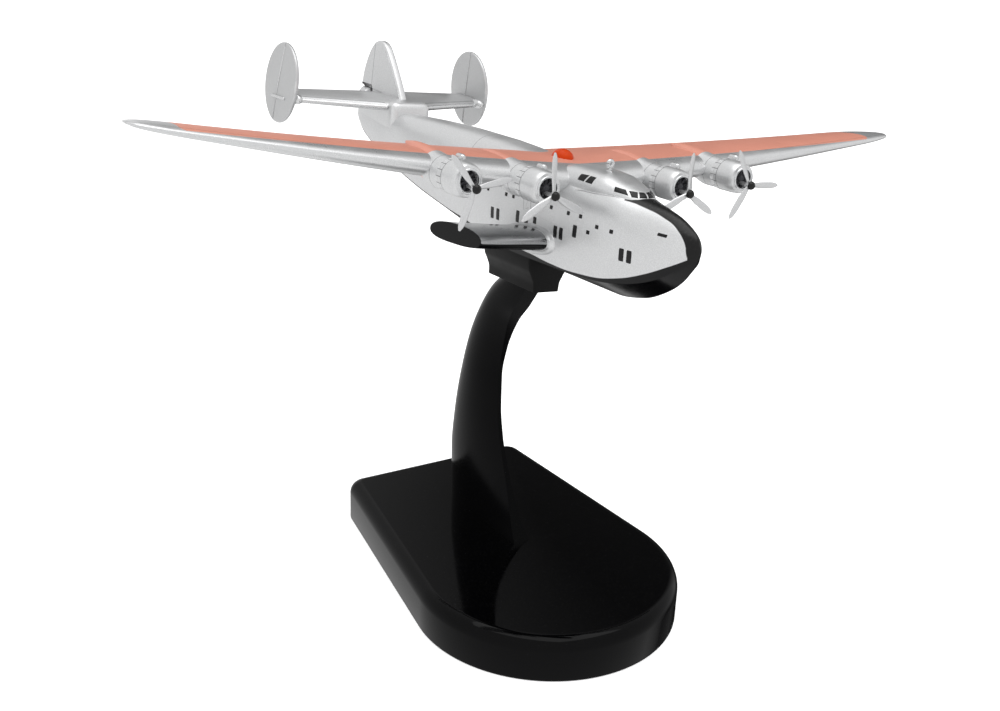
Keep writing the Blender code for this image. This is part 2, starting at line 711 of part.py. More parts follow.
def aircraft_axes(parts):
    """The empty that carries the aircraft at its height and attitude."""
    axes = bpy.data.objects.new("aircraft_axes", None)
    parts.objects.link(axes)
    turn = Matrix.Rotation(YAW, 4, "Z") @ Matrix.Rotation(-NOSE_UP, 4, "X") @ Matrix.Rotation(BANK, 4, "Y")
    axes.matrix_world = Matrix.Translation(AIRCRAFT_PLACE) @ turn
    return axes


def main():
    clear_scene()
    parts = new_collection("display_model_flying_boat")
    cutters = new_collection("cutters")
    aircraft = aircraft_axes(parts)

    hull_cutter = as_cutter(place_form("hull_way", hull_form(FIT_GAP), cutters, aircraft))
    mirrored(hull_cutter)
    wing_cutter = as_cutter(place_form("wing_way", wing_form(FIT_GAP), cutters, aircraft))
    mirrored(wing_cutter)
    cradle_cutter = as_cutter(place_form("cradle_way", cradle_form(FIT_GAP), cutters, aircraft))
    mirrored(cradle_cutter)

    build_base(parts)
    build_arm(parts, cradle_cutter)
    build_airframe(parts, cutters, aircraft, hull_cutter, wing_cutter)
    build_tail(parts, cutters, aircraft, hull_cutter)
    build_engines(parts, cutters, aircraft, wing_cutter)
    bpy.context.view_layer.update()


main()
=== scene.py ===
# %% [markdown]
# A small die-cast display model of a four-engined flying boat stands on a glossy black desk
# stand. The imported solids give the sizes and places. This lesson dresses them: finer skins on
# much the same sections, paint, windows, seams and small fittings, then light and camera.

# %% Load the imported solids
import math

import bmesh
import bpy
import numpy as np
from mathutils import Matrix, Vector
from mathutils.bvhtree import BVHTree


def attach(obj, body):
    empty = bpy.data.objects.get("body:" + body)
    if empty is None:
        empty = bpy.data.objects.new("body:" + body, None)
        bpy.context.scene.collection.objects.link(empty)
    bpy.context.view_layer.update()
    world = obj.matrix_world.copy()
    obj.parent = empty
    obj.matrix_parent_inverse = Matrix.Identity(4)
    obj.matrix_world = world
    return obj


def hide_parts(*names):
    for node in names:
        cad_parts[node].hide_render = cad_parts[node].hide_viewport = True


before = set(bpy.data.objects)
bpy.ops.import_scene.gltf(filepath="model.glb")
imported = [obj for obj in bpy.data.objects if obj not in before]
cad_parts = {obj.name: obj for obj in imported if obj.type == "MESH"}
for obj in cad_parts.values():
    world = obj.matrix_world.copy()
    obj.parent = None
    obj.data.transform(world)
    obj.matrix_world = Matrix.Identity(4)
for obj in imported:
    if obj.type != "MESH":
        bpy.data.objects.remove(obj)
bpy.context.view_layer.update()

MM = 0.001
BODY = "model_and_stand"

# %% [markdown]
# The aircraft is drawn level, about the middle of its wing-tip line, and one matrix then sets
# it on its stand, a little nose-up, banked and turned. Each aircraft piece keeps that matrix
# as its own, so its object coordinates are the aircraft's own, and paint follows the shape.

# %% Attitude of the aircraft on its stand
AIRCRAFT_PLACE = Vector((3.372, 3.555, 77.415)) * MM
NOSE_UP = math.radians(3.96)
BANK = math.radians(6.81)
YAW = math.radians(3.63)
AIRCRAFT = Matrix.Translation(AIRCRAFT_PLACE) @ Matrix.Rotation(YAW, 4, "Z")
AIRCRAFT = AIRCRAFT @ Matrix.Rotation(-NOSE_UP, 4, "X") @ Matrix.Rotation(BANK, 4, "Y")
print("nose points along", [round(-v, 3) for v in AIRCRAFT.col[1][:3]])

# %% [markdown]
# Every skin here is a loft: rings of points, joined by quads. A few sections carry each shape,
# and a monotone cubic through them gives rings as close as a render needs, with no overshoot
# between a blunt and a slender section. Angles once round or a quarter round serve every ring.

# %% Smooth sections and skins
def smooth_through(places, values, wanted):
    """Monotone cubic through (places, values), read at the wanted places."""
    x, y = np.array(places, float), np.array(values, float)
    h, d = np.diff(x), np.diff(y) / np.diff(x)
    m = np.zeros(len(x))
    m[0], m[-1] = d[0], d[-1]
    for i in range(1, len(x) - 1):
        if d[i - 1] * d[i] > 0:
            w1, w2 = 2 * h[i] + h[i - 1], h[i] + 2 * h[i - 1]
            m[i] = (w1 + w2) / (w1 / d[i - 1] + w2 / d[i])
    i = np.clip(np.searchsorted(x, wanted) - 1, 0, len(h) - 1)
    t = (np.array(wanted, float) - x[i]) / h[i]
    a, b = (1 + 2 * t) * (1 - t) ** 2, t * (1 - t) ** 2
    c, e = t * t * (3 - 2 * t), t * t * (t - 1)
    return a * y[i] + b * h[i] * m[i] + c * y[i + 1] + e * h[i] * m[i + 1]


def smooth_table(table, wanted):
    """Each column of a table of sections, read at the wanted places in its first column."""
    columns = np.array(table, float).T
    return np.array([smooth_through(columns[0], column, wanted) for column in columns[1:]]).T


def straight_table(table, wanted):
    """As smooth_table, with straight lines from row to row."""
    columns = np.array(table, float).T
    return np.array([np.interp(wanted, columns[0], column) for column in columns[1:]]).T


def full_turn(steps):
    return [2 * math.pi * i / steps for i in range(steps)]


def quarter_turn(steps):
    return [0.5 * math.pi * i / steps for i in range(steps + 1)]


def skin(name, rings, capped=True, sharp=32.0):
    """Loft rings given in millimetres into a smooth mesh in metres."""
    points = np.array(rings, float) * MM
    form = bmesh.new()
    verts = [[form.verts.new(p) for p in row] for row in points]
    for near, far in zip(verts, verts[1:]):
        for i in range(len(near)):
            j = (i + 1) % len(near)
            form.faces.new((near[i], near[j], far[j], far[i]))
    if capped:
        form.faces.new(verts[0])
        form.faces.new(verts[-1])
    bmesh.ops.remove_doubles(form, verts=form.verts, dist=1e-7)
    bmesh.ops.recalc_face_normals(form, faces=form.faces)
    mesh = bpy.data.meshes.new(name)
    form.to_mesh(mesh)
    form.free()
    mesh.shade_smooth()
    mesh.set_sharp_from_angle(angle=math.radians(sharp))
    return mesh


def whole(half):
    """A ring of (x, z) from the keel round one side to the top, closed by its mirror image."""
    return list(half) + [(-x, z) for x, z in half[-2:0:-1]]


print("a smooth curve passes its sections:", smooth_through([0, 1, 2], [0, 1, 1], [1.0]))

# %% [markdown]
# A piece has to say which body it moves with, which solid it stands for and which finish it
# wears. One helper does that for every piece, so that nothing is left riding on nothing.
# A mesh can hold distances to lines for its paint, and FAR millimetres reaches no line.

# %% Put a mesh in the scene as a piece of the model
SIDES = (("starboard", -1.0), ("port", 1.0))
FAR = 9.0


def piece(name, mesh, material, place=AIRCRAFT, body=BODY, replaces=()):
    made = bpy.data.objects.new(name, mesh)
    bpy.context.scene.collection.objects.link(made)
    made.matrix_world = place
    for look in material if isinstance(material, (list, tuple)) else [material]:
        mesh.materials.append(look)
    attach(made, body)
    if replaces:
        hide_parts(*replaces)
    return made


def joined(name, meshes):
    """One mesh made of several, which are used up."""
    form = bmesh.new()
    for mesh in meshes:
        form.from_mesh(mesh)
        bpy.data.meshes.remove(mesh)
    made = bpy.data.meshes.new(name)
    form.to_mesh(made)
    form.free()
    return made


def hold(mesh, name, values):
    """Keep one number per vertex on the mesh, for its material to read."""
    kept = mesh.attributes.new(name, "FLOAT", "POINT")
    kept.data.foreach_set("value", np.array(values, np.float32))


def vertex_places(mesh):
    """Vertex positions in millimetres, in the mesh's own axes."""
    flat = np.zeros(len(mesh.vertices) * 3)
    mesh.vertices.foreach_get("co", flat)
    return flat.reshape(-1, 3) / MM


print("pieces ride on", BODY, "or on a propeller's body")

# %% [markdown]
# The paint on a small casting has three things that flat colour lacks: fine metal flake, a
# slight orange peel, and dust and handling that change its gloss. They are node groups with
# named sockets, so that each finish sets its own amounts.

# %% Node helpers
def new_group(name, inputs, outputs):
    tree = bpy.data.node_groups.new(name, "ShaderNodeTree")
    for label, kind, value in inputs:
        socket = tree.interface.new_socket(name=label, in_out="INPUT", socket_type="NodeSocket" + kind)
        if value is not None:
            socket.default_value = value
    for label, kind in outputs:
        tree.interface.new_socket(name=label, in_out="OUTPUT", socket_type="NodeSocket" + kind)
    return tree, tree.nodes.new("NodeGroupInput"), tree.nodes.new("NodeGroupOutput")


def feed(tree, target, value):
    """Link a socket to an input, or set the input to a value."""
    if isinstance(value, bpy.types.NodeSocket):
        tree.links.new(value, target)
    else:
        target.default_value = value


def add(tree, kind, **sockets):
    """A node, with its sockets fed by name (underscores stand for spaces)."""
    node = tree.nodes.new("ShaderNode" + kind)
    for label, value in sockets.items():
        feed(tree, node.inputs[label.replace("_", " ")], value)
    return node


def number(tree, operation, first, second=0.0, clamp=False):
    node = add(tree, "Math")
    node.operation = operation
    node.use_clamp = clamp
    feed(tree, node.inputs[0], first)
    feed(tree, node.inputs[1], second)
    return node.outputs[0]


def times(tree, first, second, clamp=False):
    return number(tree, "MULTIPLY", first, second, clamp)


def blend_colour(tree, share, first, second):
    node = add(tree, "Mix")
    node.data_type = "RGBA"
    for place, value in ((0, share), (6, first), (7, second)):
        feed(tree, node.inputs[place], value)
    return node.outputs[2]


def ramp(tree, value, low, high, out_low=0.0, out_high=1.0):
    """A value between two limits, remapped; any of them can be a number or a socket."""
    node = add(tree, "MapRange", Value=value, From_Min=low, From_Max=high, To_Min=out_low, To_Max=out_high)
    return node.outputs["Result"]


print("node helpers ready")

# %% [markdown]
# Flake is very fine noise that shifts the tint, peel is a broader, shallow bump, and gloss
# drifts slowly across the piece. All three are read in the piece's own coordinates, so they
# keep their real scale on large and small pieces alike.

# %% Group: sprayed paint
paint_tree, paint_in, paint_out = new_group("sprayed_paint",
                                            [("Tint", "Color", (0.5, 0.5, 0.5, 1)),
                                             ("Flake Tint", "Color", (0.6, 0.6, 0.6, 1)),
                                             ("Flake", "Float", 0.3), ("Gloss Low", "Float", 0.3),
                                             ("Gloss High", "Float", 0.4), ("Peel", "Float", 0.3)],
                                            [("Color", "Color"), ("Roughness", "Float"),
                                             ("Height", "Float")])
paint_place = add(paint_tree, "TexCoord").outputs["Object"]
flake = add(paint_tree, "TexNoise", Vector=paint_place, Scale=9000.0, Detail=1.0).outputs[0]
cloud = add(paint_tree, "TexNoise", Vector=paint_place, Scale=160.0, Detail=3.0).outputs[0]
flake_share = times(paint_tree, ramp(paint_tree, flake, 0.42, 0.68), paint_in.outputs["Flake"])
paint_colour = blend_colour(paint_tree, flake_share, paint_in.outputs["Tint"],
                            paint_in.outputs["Flake Tint"])
paint_tree.links.new(paint_colour, paint_out.inputs["Color"])
paint_gloss = ramp(paint_tree, cloud, 0.35, 0.65, paint_in.outputs["Gloss Low"],
                   paint_in.outputs["Gloss High"])
paint_tree.links.new(paint_gloss, paint_out.inputs["Roughness"])
peel = add(paint_tree, "TexNoise", Vector=paint_place, Scale=2600.0, Detail=2.0).outputs[0]
paint_height = number(paint_tree, "ADD", times(paint_tree, peel, paint_in.outputs["Peel"]),
                      times(paint_tree, flake, times(paint_tree, paint_in.outputs["Peel"], 0.35)))
paint_tree.links.new(paint_height, paint_out.inputs["Height"])
print("sprayed_paint:", len(paint_tree.nodes), "nodes")

# %% [markdown]
# A scribed seam is a thin groove that collects shade. The mesh carries the distance to the
# line in millimetres, and the group turns that distance into a dark line and a dip.

# %% Group: scribed line
line_tree, line_in, line_out = new_group("scribed_line",
                                         [("Distance", "Float", 1.0), ("Half Width", "Float", 0.05)],
                                         [("Mask", "Float"), ("Depth", "Float")])
away = number(line_tree, "ABSOLUTE", line_in.outputs["Distance"])
line_share = number(line_tree, "DIVIDE", away, line_in.outputs["Half Width"])
line_mask = ramp(line_tree, line_share, 0.6, 1.2, 1.0, 0.0)
line_tree.links.new(line_mask, line_out.inputs["Mask"])
line_tree.links.new(times(line_tree, line_mask, -1.0), line_out.inputs["Depth"])
print("scribed_line:", len(line_tree.nodes), "nodes")

# %% [markdown]
# Dust settles on what faces up and dulls it, and fingers leave faint smears. The mask comes
# from the surface's own direction and two noises, and it is kept low: the model is new.

# %% Group: dust and smears
dust_tree, dust_in, dust_out = new_group("dust_and_smears",
                                         [("Dust", "Float", 0.1), ("Smears", "Float", 0.1)],
                                         [("Dust Mask", "Float"), ("Gloss Shift", "Float")])
dust_place = add(dust_tree, "TexCoord").outputs["Object"]
facing = add(dust_tree, "SeparateXYZ", Vector=add(dust_tree, "NewGeometry").outputs["Normal"]).outputs["Z"]
specks = add(dust_tree, "TexNoise", Vector=dust_place, Scale=3200.0, Detail=4.0).outputs[0]
smear = add(dust_tree, "TexNoise", Vector=dust_place, Scale=210.0, Detail=5.0, Distortion=1.5).outputs[0]
settled = times(dust_tree, ramp(dust_tree, facing, 0.2, 1.0), ramp(dust_tree, specks, 0.52, 0.75))
dust_tree.links.new(times(dust_tree, settled, dust_in.outputs["Dust"]), dust_out.inputs["Dust Mask"])
dust_tree.links.new(times(dust_tree, ramp(dust_tree, smear, 0.45, 0.7), dust_in.outputs["Smears"]),
                    dust_out.inputs["Gloss Shift"])
print("dust_and_smears:", len(dust_tree.nodes), "nodes")

# %% [markdown]
# Paint is thinnest on raised edges, where the bright metal begins to show. Cycles knows how
# sharply a point sticks out, and the group turns that into a mask.

# %% Group: edge rub
rub_tree, rub_in, rub_out = new_group("edge_rub", [("Amount", "Float", 0.5), ("Start", "Float", 0.52)],
                                      [("Mask", "Float")])
pointed = add(rub_tree, "NewGeometry").outputs["Pointiness"]
rub_end = number(rub_tree, "ADD", rub_in.outputs["Start"], 0.06)
rub_mask = add(rub_tree, "MapRange", Value=pointed, From_Min=rub_in.outputs["Start"],
               From_Max=rub_end).outputs["Result"]
rub_tree.links.new(times(rub_tree, rub_mask, rub_in.outputs["Amount"], True), rub_out.inputs["Mask"])
print("edge_rub:", len(rub_tree.nodes), "nodes")

# %% [markdown]
# One function lays the common parts of a finish: sprayed paint, edge rub, then dust and, where
# the mesh holds distances to seams, the scribed lines. A further coat can lie over the first
# where the mesh holds a distance into that coat's area, as when a colour edge is masked.

# %% A painted finish
SILVER = (0.62, 0.625, 0.63)
SILVER_BRIGHT = (0.86, 0.865, 0.87)
DUST_TINT = (0.55, 0.54, 0.52, 1)
SEAM_TINT = (0.045, 0.045, 0.05, 1)
SEAM_STRENGTH = 0.72


def use(tree, group, **sockets):
    node = add(tree, "Group")
    node.node_tree = group
    for label, value in sockets.items():
        feed(tree, node.inputs[label.replace("_", " ")], value)
    return node


def held(tree, name):
    node = tree.nodes.new("ShaderNodeAttribute")
    node.attribute_name = name
    return node.outputs["Fac"]


def coat_share(tree, name, softness=0.04):
    """1 inside a masked area and 0 outside, from the distance that the mesh holds."""
    return ramp(tree, held(tree, name), -softness, softness)


def painted(name, tint, flake_tint, flake, gloss, peel=0.25, metallic=0.0, rub=0.0, dust=0.04,
            seams=(), coats=(), seam_width=0.05, specular=0.5):
    """Return a material. A coat is (distance name, tint, flake tint, flake, gloss, metallic)."""
    made = bpy.data.materials.new(name)
    made.use_nodes = True
    tree = made.node_tree
    shader = tree.nodes["Principled BSDF"]
    paint = use(tree, paint_tree, Tint=(*tint, 1), Flake_Tint=(*flake_tint, 1), Flake=flake,
                Gloss_Low=gloss[0], Gloss_High=gloss[1], Peel=peel)
    colour, rough, height = paint.outputs["Color"], paint.outputs["Roughness"], paint.outputs["Height"]
    if rub:
        edge = use(tree, rub_tree, Amount=rub)
        colour = blend_colour(tree, edge.outputs["Mask"], colour, (*SILVER_BRIGHT, 1))
    metal = None
    for area, tint2, flake2, share2, gloss2, metallic2 in coats:
        over = coat_share(tree, area)
        paint2 = use(tree, paint_tree, Tint=(*tint2, 1), Flake_Tint=(*flake2, 1), Flake=share2,
                     Gloss_Low=gloss2[0], Gloss_High=gloss2[1], Peel=peel)
        colour = blend_colour(tree, over, colour, paint2.outputs["Color"])
        rough = ramp(tree, over, 0.0, 1.0, rough, paint2.outputs["Roughness"])
        metal = ramp(tree, over, 0.0, 1.0, metallic if metal is None else metal, metallic2)
    worn = use(tree, dust_tree, Dust=dust, Smears=0.05)
    colour = blend_colour(tree, worn.outputs["Dust Mask"], colour, DUST_TINT)
    rough = number(tree, "ADD", rough, number(tree, "ADD", worn.outputs["Gloss Shift"],
                                               times(tree, worn.outputs["Dust Mask"], 0.4)), True)
    for seam in seams:
        line = use(tree, line_tree, Distance=held(tree, seam), Half_Width=seam_width)
        colour = blend_colour(tree, times(tree, line.outputs["Mask"], SEAM_STRENGTH), colour, SEAM_TINT)
        height = number(tree, "ADD", height, times(tree, line.outputs["Depth"], 3.0))
    tree.links.new(colour, shader.inputs["Base Color"])
    tree.links.new(rough, shader.inputs["Roughness"])
    if metal is None:
        shader.inputs["Metallic"].default_value = metallic
    else:
        tree.links.new(metal, shader.inputs["Metallic"])
    bump = add(tree, "Bump", Height=height, Distance=0.00001, Strength=0.5)
    tree.links.new(bump.outputs["Normal"], shader.inputs["Normal"])
    shader.inputs["Specular IOR Level"].default_value = specular
    return made


# A shade below 1 scales the silver's tints down; where it is used, it is painted shade on pieces whose
# faces are too brightly lit.
def silver_paint(name, gloss=(0.34, 0.42), rub=0.12, shade=1.0, **more):
    tint, bright = [[shade * v for v in colour] for colour in (SILVER, SILVER_BRIGHT)]
    return painted(name, tint, bright, 0.5, gloss, metallic=0.78, peel=0.05, rub=rub, **more)


BLACK_COAT = ((0.0012, 0.0012, 0.0015), (0.003, 0.003, 0.003), 0.2, (0.14, 0.2), 0.0)
SATIN_COAT = ((0.0015, 0.0015, 0.0015), (0.005, 0.005, 0.005), 0.3, (0.24, 0.3), 0.0)
CORAL_COAT = ((0.6, 0.235, 0.165), (0.7, 0.32, 0.24), 0.4, (0.34, 0.42), 0.0)
print("painted finishes ready")

# %% [markdown]
# The hull is a vee bottom up to a hard chine, then a side that rounds into the deck. Its
# sections are those of the solid, with the bow's shoulders and the deck line ahead of the wing
# fitted closer to the photograph. Small rings close the stem and the stern softly.

# %% Hull sections: y, keel z, chine z, deck z, half beam, half beam at the chine, squareness
HULL_SECTIONS = [
    (-29.4, -12.3, -11.7, -10.4, 0.4, 0.3, 1.15),
    (-28.8, -13.6, -12.7, -9.4, 1.0, 0.8, 1.15),
    (-27.2, -15.7, -14.1, -8.42, 1.95, 1.5, 1.14),
    (-24.4, -17.8, -16.0, -7.35, 2.9, 2.5, 1.12),
    (-20.0, -19.8, -17.6, -6.6, 3.9, 3.6, 0.95),
    (-14.0, -20.8, -18.6, -5.95, 4.9, 4.5, 0.61),
    (-6.0, -20.8, -18.9, -5.3, 5.5, 5.0, 0.66),
    (5.0, -20.7, -19.0, -5.0, 5.6, 5.2, 0.72),
    (10.0, -20.6, -19.0, -4.2, 5.6, 5.1, 0.72),
    (16.0, -20.4, -18.8, -3.95, 5.5, 5.0, 0.72),
    (16.4, -19.4, -18.1, -3.95, 5.5, 4.9, 0.72),
    (26.0, -18.2, -16.8, -3.95, 5.2, 4.4, 0.72),
    (36.0, -17.0, -15.5, -4.2, 4.7, 3.8, 0.72),
    (46.0, -15.2, -13.8, -4.7, 4.1, 3.0, 0.72),
    (56.0, -12.8, -11.5, -5.0, 3.0, 2.0, 0.72),
    (62.0, -11.0, -9.9, -5.3, 1.9, 1.1, 0.72),
    (65.2, -9.0, -8.4, -5.9, 0.7, 0.4, 0.72),
]
BOTTOM_STEPS = 5
SIDE_STEPS = 8
TOP_STEPS = 22
HULL_WIDEST = 0.4


def hull_ring(y, keel, chine, deck, beam, chine_beam, square):
    middle = chine + HULL_WIDEST * (deck - chine)
    half = []
    for i in range(BOTTOM_STEPS):
        half.append((chine_beam * i / BOTTOM_STEPS, keel + (chine - keel) * i / BOTTOM_STEPS))
    for i in range(SIDE_STEPS):
        t = i / SIDE_STEPS
        x = (1 - t) ** 2 * chine_beam + 2 * t * (1 - t) * (0.35 * chine_beam + 0.65 * beam) + t * t * beam
        half.append((x, chine + (middle - chine) * t))
    for i in range(TOP_STEPS + 1):
        turn = 0.5 * math.pi * i / TOP_STEPS
        across = beam * max(0.0, math.cos(turn)) ** square if i < TOP_STEPS else 0.0
        half.append((across, middle + (deck - middle) * math.sin(turn) ** square))
    return [(x, y, z) for x, z in whole(half)]


forward_of_step = [row for row in HULL_SECTIONS if row[0] <= 16.0]
aft_of_step = [row for row in HULL_SECTIONS if row[0] > 16.0]
bow_y = np.concatenate([-29.4 + 5.6 * np.linspace(0, 1, 30) ** 1.5, np.linspace(-23.4, 16.0, 90)])
tail_y = np.linspace(16.4, 65.2, 62)
hull_rings = [hull_ring(y, *row) for y, row in zip(bow_y, smooth_table(forward_of_step, bow_y))]
hull_rings += [hull_ring(y, *row) for y, row in zip(tail_y, smooth_table(aft_of_step, tail_y))]
bow_ring, stern_ring = np.array(hull_rings[0]), np.array(hull_rings[-1])
END_ROUNDS = [(0.75, 0.1), (0.4, 0.17), (0.02, 0.2)]
for share, out in END_ROUNDS:
    middle = bow_ring.mean(0)
    hull_rings.insert(0, [tuple(middle + (p - middle) * share - (0, out, 0)) for p in bow_ring])
    middle = stern_ring.mean(0)
    hull_rings.append([tuple(middle + (p - middle) * share + (0, 1.5 * out, 0)) for p in stern_ring])
print("hull rings:", len(hull_rings), "of", len(hull_rings[0]), "points")

# %% [markdown]
# Four lines are measured on the hull for its paint: the edge of the black anti-glare panel
# over the bow, the edge of the black bottom, the seam where the wing's fairing ends on the
# deck, and the door seams on the sides. Each is a distance in millimetres held on the vertices.

# %% Hull mesh and its paint lines
hull_mesh = skin("hull", hull_rings, sharp=28.0)
place = vertex_places(hull_mesh)
PANEL_EDGE = [(-28.53, -12.34), (-28.15, -10.78), (-27.4, -9.78), (-26.3, -8.98), (-24.95, -8.31),
              (-23.36, -7.89), (-21.62, -7.51), (-19.56, -7.22), (-17.61, -6.95), (-16.2, -6.86)]
STEM_Y = -28.5
BOTTOM_LINE = [(-28.53, -12.34), (-27.65, -12.91), (-26.07, -13.83), (-22.75, -15.55), (-19.0, -17.01),
               (-14.0, -18.15), (-10.9, -18.42), (-7.5, -18.59), (-3.4, -18.5), (0.9, -18.21),
               (10.0, -18.1), (16.2, -18.0), (17.0, -17.6), (26.0, -16.6), (36.0, -15.3), (46.0, -13.6),
               (56.0, -11.3), (65.2, -8.2)]
DECK_SEAM_Y = 20.25
DOOR_SEAMS = [(3.2, 0.245), (1.4, 0.24)]
DOOR_TOP, DOOR_FOOT, DOOR_LEVEL = -8.6, -12.6, -11.5
along_panel = np.clip(place[:, 1], -28.5, -16.23)
panel_edge = smooth_through(*np.array(PANEL_EDGE).T, along_panel)
panel_slope = (smooth_through(*np.array(PANEL_EDGE).T, along_panel + 0.02) - panel_edge) / 0.02
screen_foot = np.minimum(-18.0 + 0.05 * place[:, 0] ** 4, PANEL_EDGE[-1][0])
panel = np.minimum((place[:, 2] - panel_edge) / np.sqrt(1.0 + panel_slope ** 2), screen_foot - place[:, 1])
hold(hull_mesh, "glare_panel", np.maximum(panel, STEM_Y - place[:, 1]))
bottom_line = smooth_through(*np.array(BOTTOM_LINE).T, np.clip(place[:, 1], -28.53, 65.2))
hold(hull_mesh, "bottom", bottom_line - place[:, 2])
hold(hull_mesh, "deck_seam", np.where(place[:, 2] > -9.0, place[:, 1] - DECK_SEAM_Y, FAR))
door = np.full(len(place), FAR)
for door_y, slant in DOOR_SEAMS:
    in_reach = (place[:, 2] < DOOR_TOP) & (place[:, 2] > DOOR_FOOT)
    near = np.where(in_reach, place[:, 1] - door_y - slant * (place[:, 2] - DOOR_LEVEL), FAR)
    door = np.where(np.abs(near) < np.abs(door), near, door)
hold(hull_mesh, "door_seam", door)
hull_silver = silver_paint("hull_silver", seams=("deck_seam", "door_seam"),
                           coats=[("glare_panel", *SATIN_COAT), ("bottom", *BLACK_COAT)], specular=0.3)
hull_skin = piece("hull_skin", hull_mesh, hull_silver, replaces=["hull"])
print("hull faces:", len(hull_mesh.polygons))

# %% [markdown]
# The flight deck is a low blister on the hull's shoulders. Its roof is squarer than a circle
# and it slopes down to the windscreen, so its half-sections are squared ellipses on a table.

# %% Flight deck: y, sill z, roof z, half width, squareness of the section
FLIGHT_DECK_SECTIONS = [
    (-18.05, -7.7, -6.95, 0.9, 1.0),
    (-17.9, -7.7, -6.45, 1.55, 0.95),
    (-17.6, -7.7, -6.0, 2.0, 0.9),
    (-17.0, -7.6, -5.7, 2.45, 0.88),
    (-15.6, -7.06, -5.25, 2.87, 0.85),
    (-13.4, -7.05, -4.7, 3.46, 0.8),
    (-11.0, -7.21, -4.2, 3.96, 0.75),
    (-5.0, -7.0, -4.1, 4.3, 0.68),
    (0.2, -6.8, -5.0, 4.3, 0.65),
]
ROOF_STEPS = 24
deck_y = np.concatenate([np.linspace(-18.05, -17.0, 20), np.linspace(-16.8, -14.5, 14),
                         np.linspace(-14.2, 0.2, 26)])
deck_rings = []
for y, (sill, roof, half_width, square) in zip(deck_y, smooth_table(FLIGHT_DECK_SECTIONS, deck_y)):
    half = [(0.0, sill)]
    for i in range(ROOF_STEPS + 1):
        turn = 0.5 * math.pi * i / ROOF_STEPS
        across = half_width * math.cos(turn) ** square if i < ROOF_STEPS else 0.0
        half.append((across, sill + (roof - sill) * math.sin(turn) ** square))
    deck_rings.append([(x, y, z) for x, z in whole(half)])
deck_mesh = skin("flight_deck", deck_rings)
deck_skin = piece("flight_deck", deck_mesh, silver_paint("flight_deck_silver"))
print("flight deck faces:", len(deck_mesh.polygons))

# %% [markdown]
# The wing tapers in plan and thickness, thick at the root, with an ordinary rounded section.
# Its upper side has a coral band from just behind the leading edge almost to the trailing
# edge. The mesh holds how far each point lies inside that band.

# %% Wing: x, leading edge y, trailing edge y, chord plane z, thickness
WING_SECTIONS = [
    (0.0, -5.81, 21.89, -6.92, 5.27),
    (6.0, -5.41, 20.43, -6.44, 4.88),
    (12.0, -5.01, 18.97, -5.92, 4.49),
    (24.0, -4.22, 16.06, -4.81, 3.72),
    (40.0, -3.16, 12.17, -3.15, 2.68),
    (54.0, -2.23, 8.77, -1.53, 1.78),
    (61.0, -1.77, 7.0, -0.67, 1.33),
    (63.8, -1.3, 5.5, -0.3, 1.05),
    (65.4, -0.6, 3.9, -0.1, 0.7),
    (66.2, 0.8, 2.4, 0.0, 0.3),
]
FOIL_STEPS = 34
TRAILING_EDGE = 0.05


def foil_ring(x, front, back, thickness):
    """A wing section between its front and back points (y, z)."""
    ring = []
    for i in range(2 * FOIL_STEPS + 1):
        side = i - FOIL_STEPS
        chord = 0.5 * (1.0 - math.cos(math.pi * abs(side) / FOIL_STEPS))
        bulge = 1.4845 * math.sqrt(chord) - 0.63 * chord - 1.758 * chord ** 2
        bulge += 1.4215 * chord ** 3 - 0.5075 * chord ** 4 + 0.5 * TRAILING_EDGE * chord
        z = front[1] + (back[1] - front[1]) * chord + math.copysign(bulge, side) * thickness
        ring.append((x, front[0] + (back[0] - front[0]) * chord, z))
    return ring


def both_sides(stations, make_ring):
    """Rings from the starboard tip across to the port tip."""
    starboard = [make_ring(-x, row) for x, row in reversed(stations[1:])]
    return starboard + [make_ring(x, row) for x, row in stations]


def wing_ring(x, row):
    return foil_ring(x, (row[0], row[2]), (row[1], row[2]), row[3])


tip_x = 61 + 5.2 * np.sin(0.5 * math.pi * np.linspace(0, 1, 15)[1:])
span_x = np.concatenate([np.linspace(0, 61, 42), tip_x])
span = list(zip(span_x, smooth_table(WING_SECTIONS, span_x)))
wing_mesh = skin("wing", both_sides(span, wing_ring))
place = vertex_places(wing_mesh)
half_x = np.abs(place[:, 0])
BAND_FRONT_Y = -1.55
BAND_END_X = 60.2
BAND_MARGIN = 0.75
BOOT_SHARE, BOOT_START_X = 0.11, 9.0
HINGE_SHARE, HINGE_START_X, HINGE_END_X = 0.78, 27.0, 59.0
wing_front, wing_back, wing_plane = straight_table(WING_SECTIONS, half_x).T[:3]
band = np.minimum(place[:, 1] - BAND_FRONT_Y, wing_back - BAND_MARGIN - place[:, 1])
band = np.minimum(band, BAND_END_X - half_x)
hold(wing_mesh, "band", np.where(place[:, 2] > wing_plane, band, -1.0))
boot = place[:, 1] - wing_front - BOOT_SHARE * (wing_back - wing_front)
hold(wing_mesh, "boot_seam", np.where(half_x > BOOT_START_X, boot, FAR))
hinge_reach = (half_x > HINGE_START_X) & (half_x < HINGE_END_X)
hinge = place[:, 1] - wing_front - HINGE_SHARE * (wing_back - wing_front)
hold(wing_mesh, "hinge_seam", np.where(hinge_reach, hinge, FAR))
wing_paint = silver_paint("wing_silver", seams=("hinge_seam", "boot_seam"), coats=[("band", *CORAL_COAT)],
                          gloss=(0.26, 0.34), seam_width=0.04, rub=0.0)
piece("wing_skin", wing_mesh, wing_paint, replaces=["wing"])
print("wing faces:", len(wing_mesh.polygons), "span in mm:",
      round(place[:, 0].max() - place[:, 0].min(), 1))
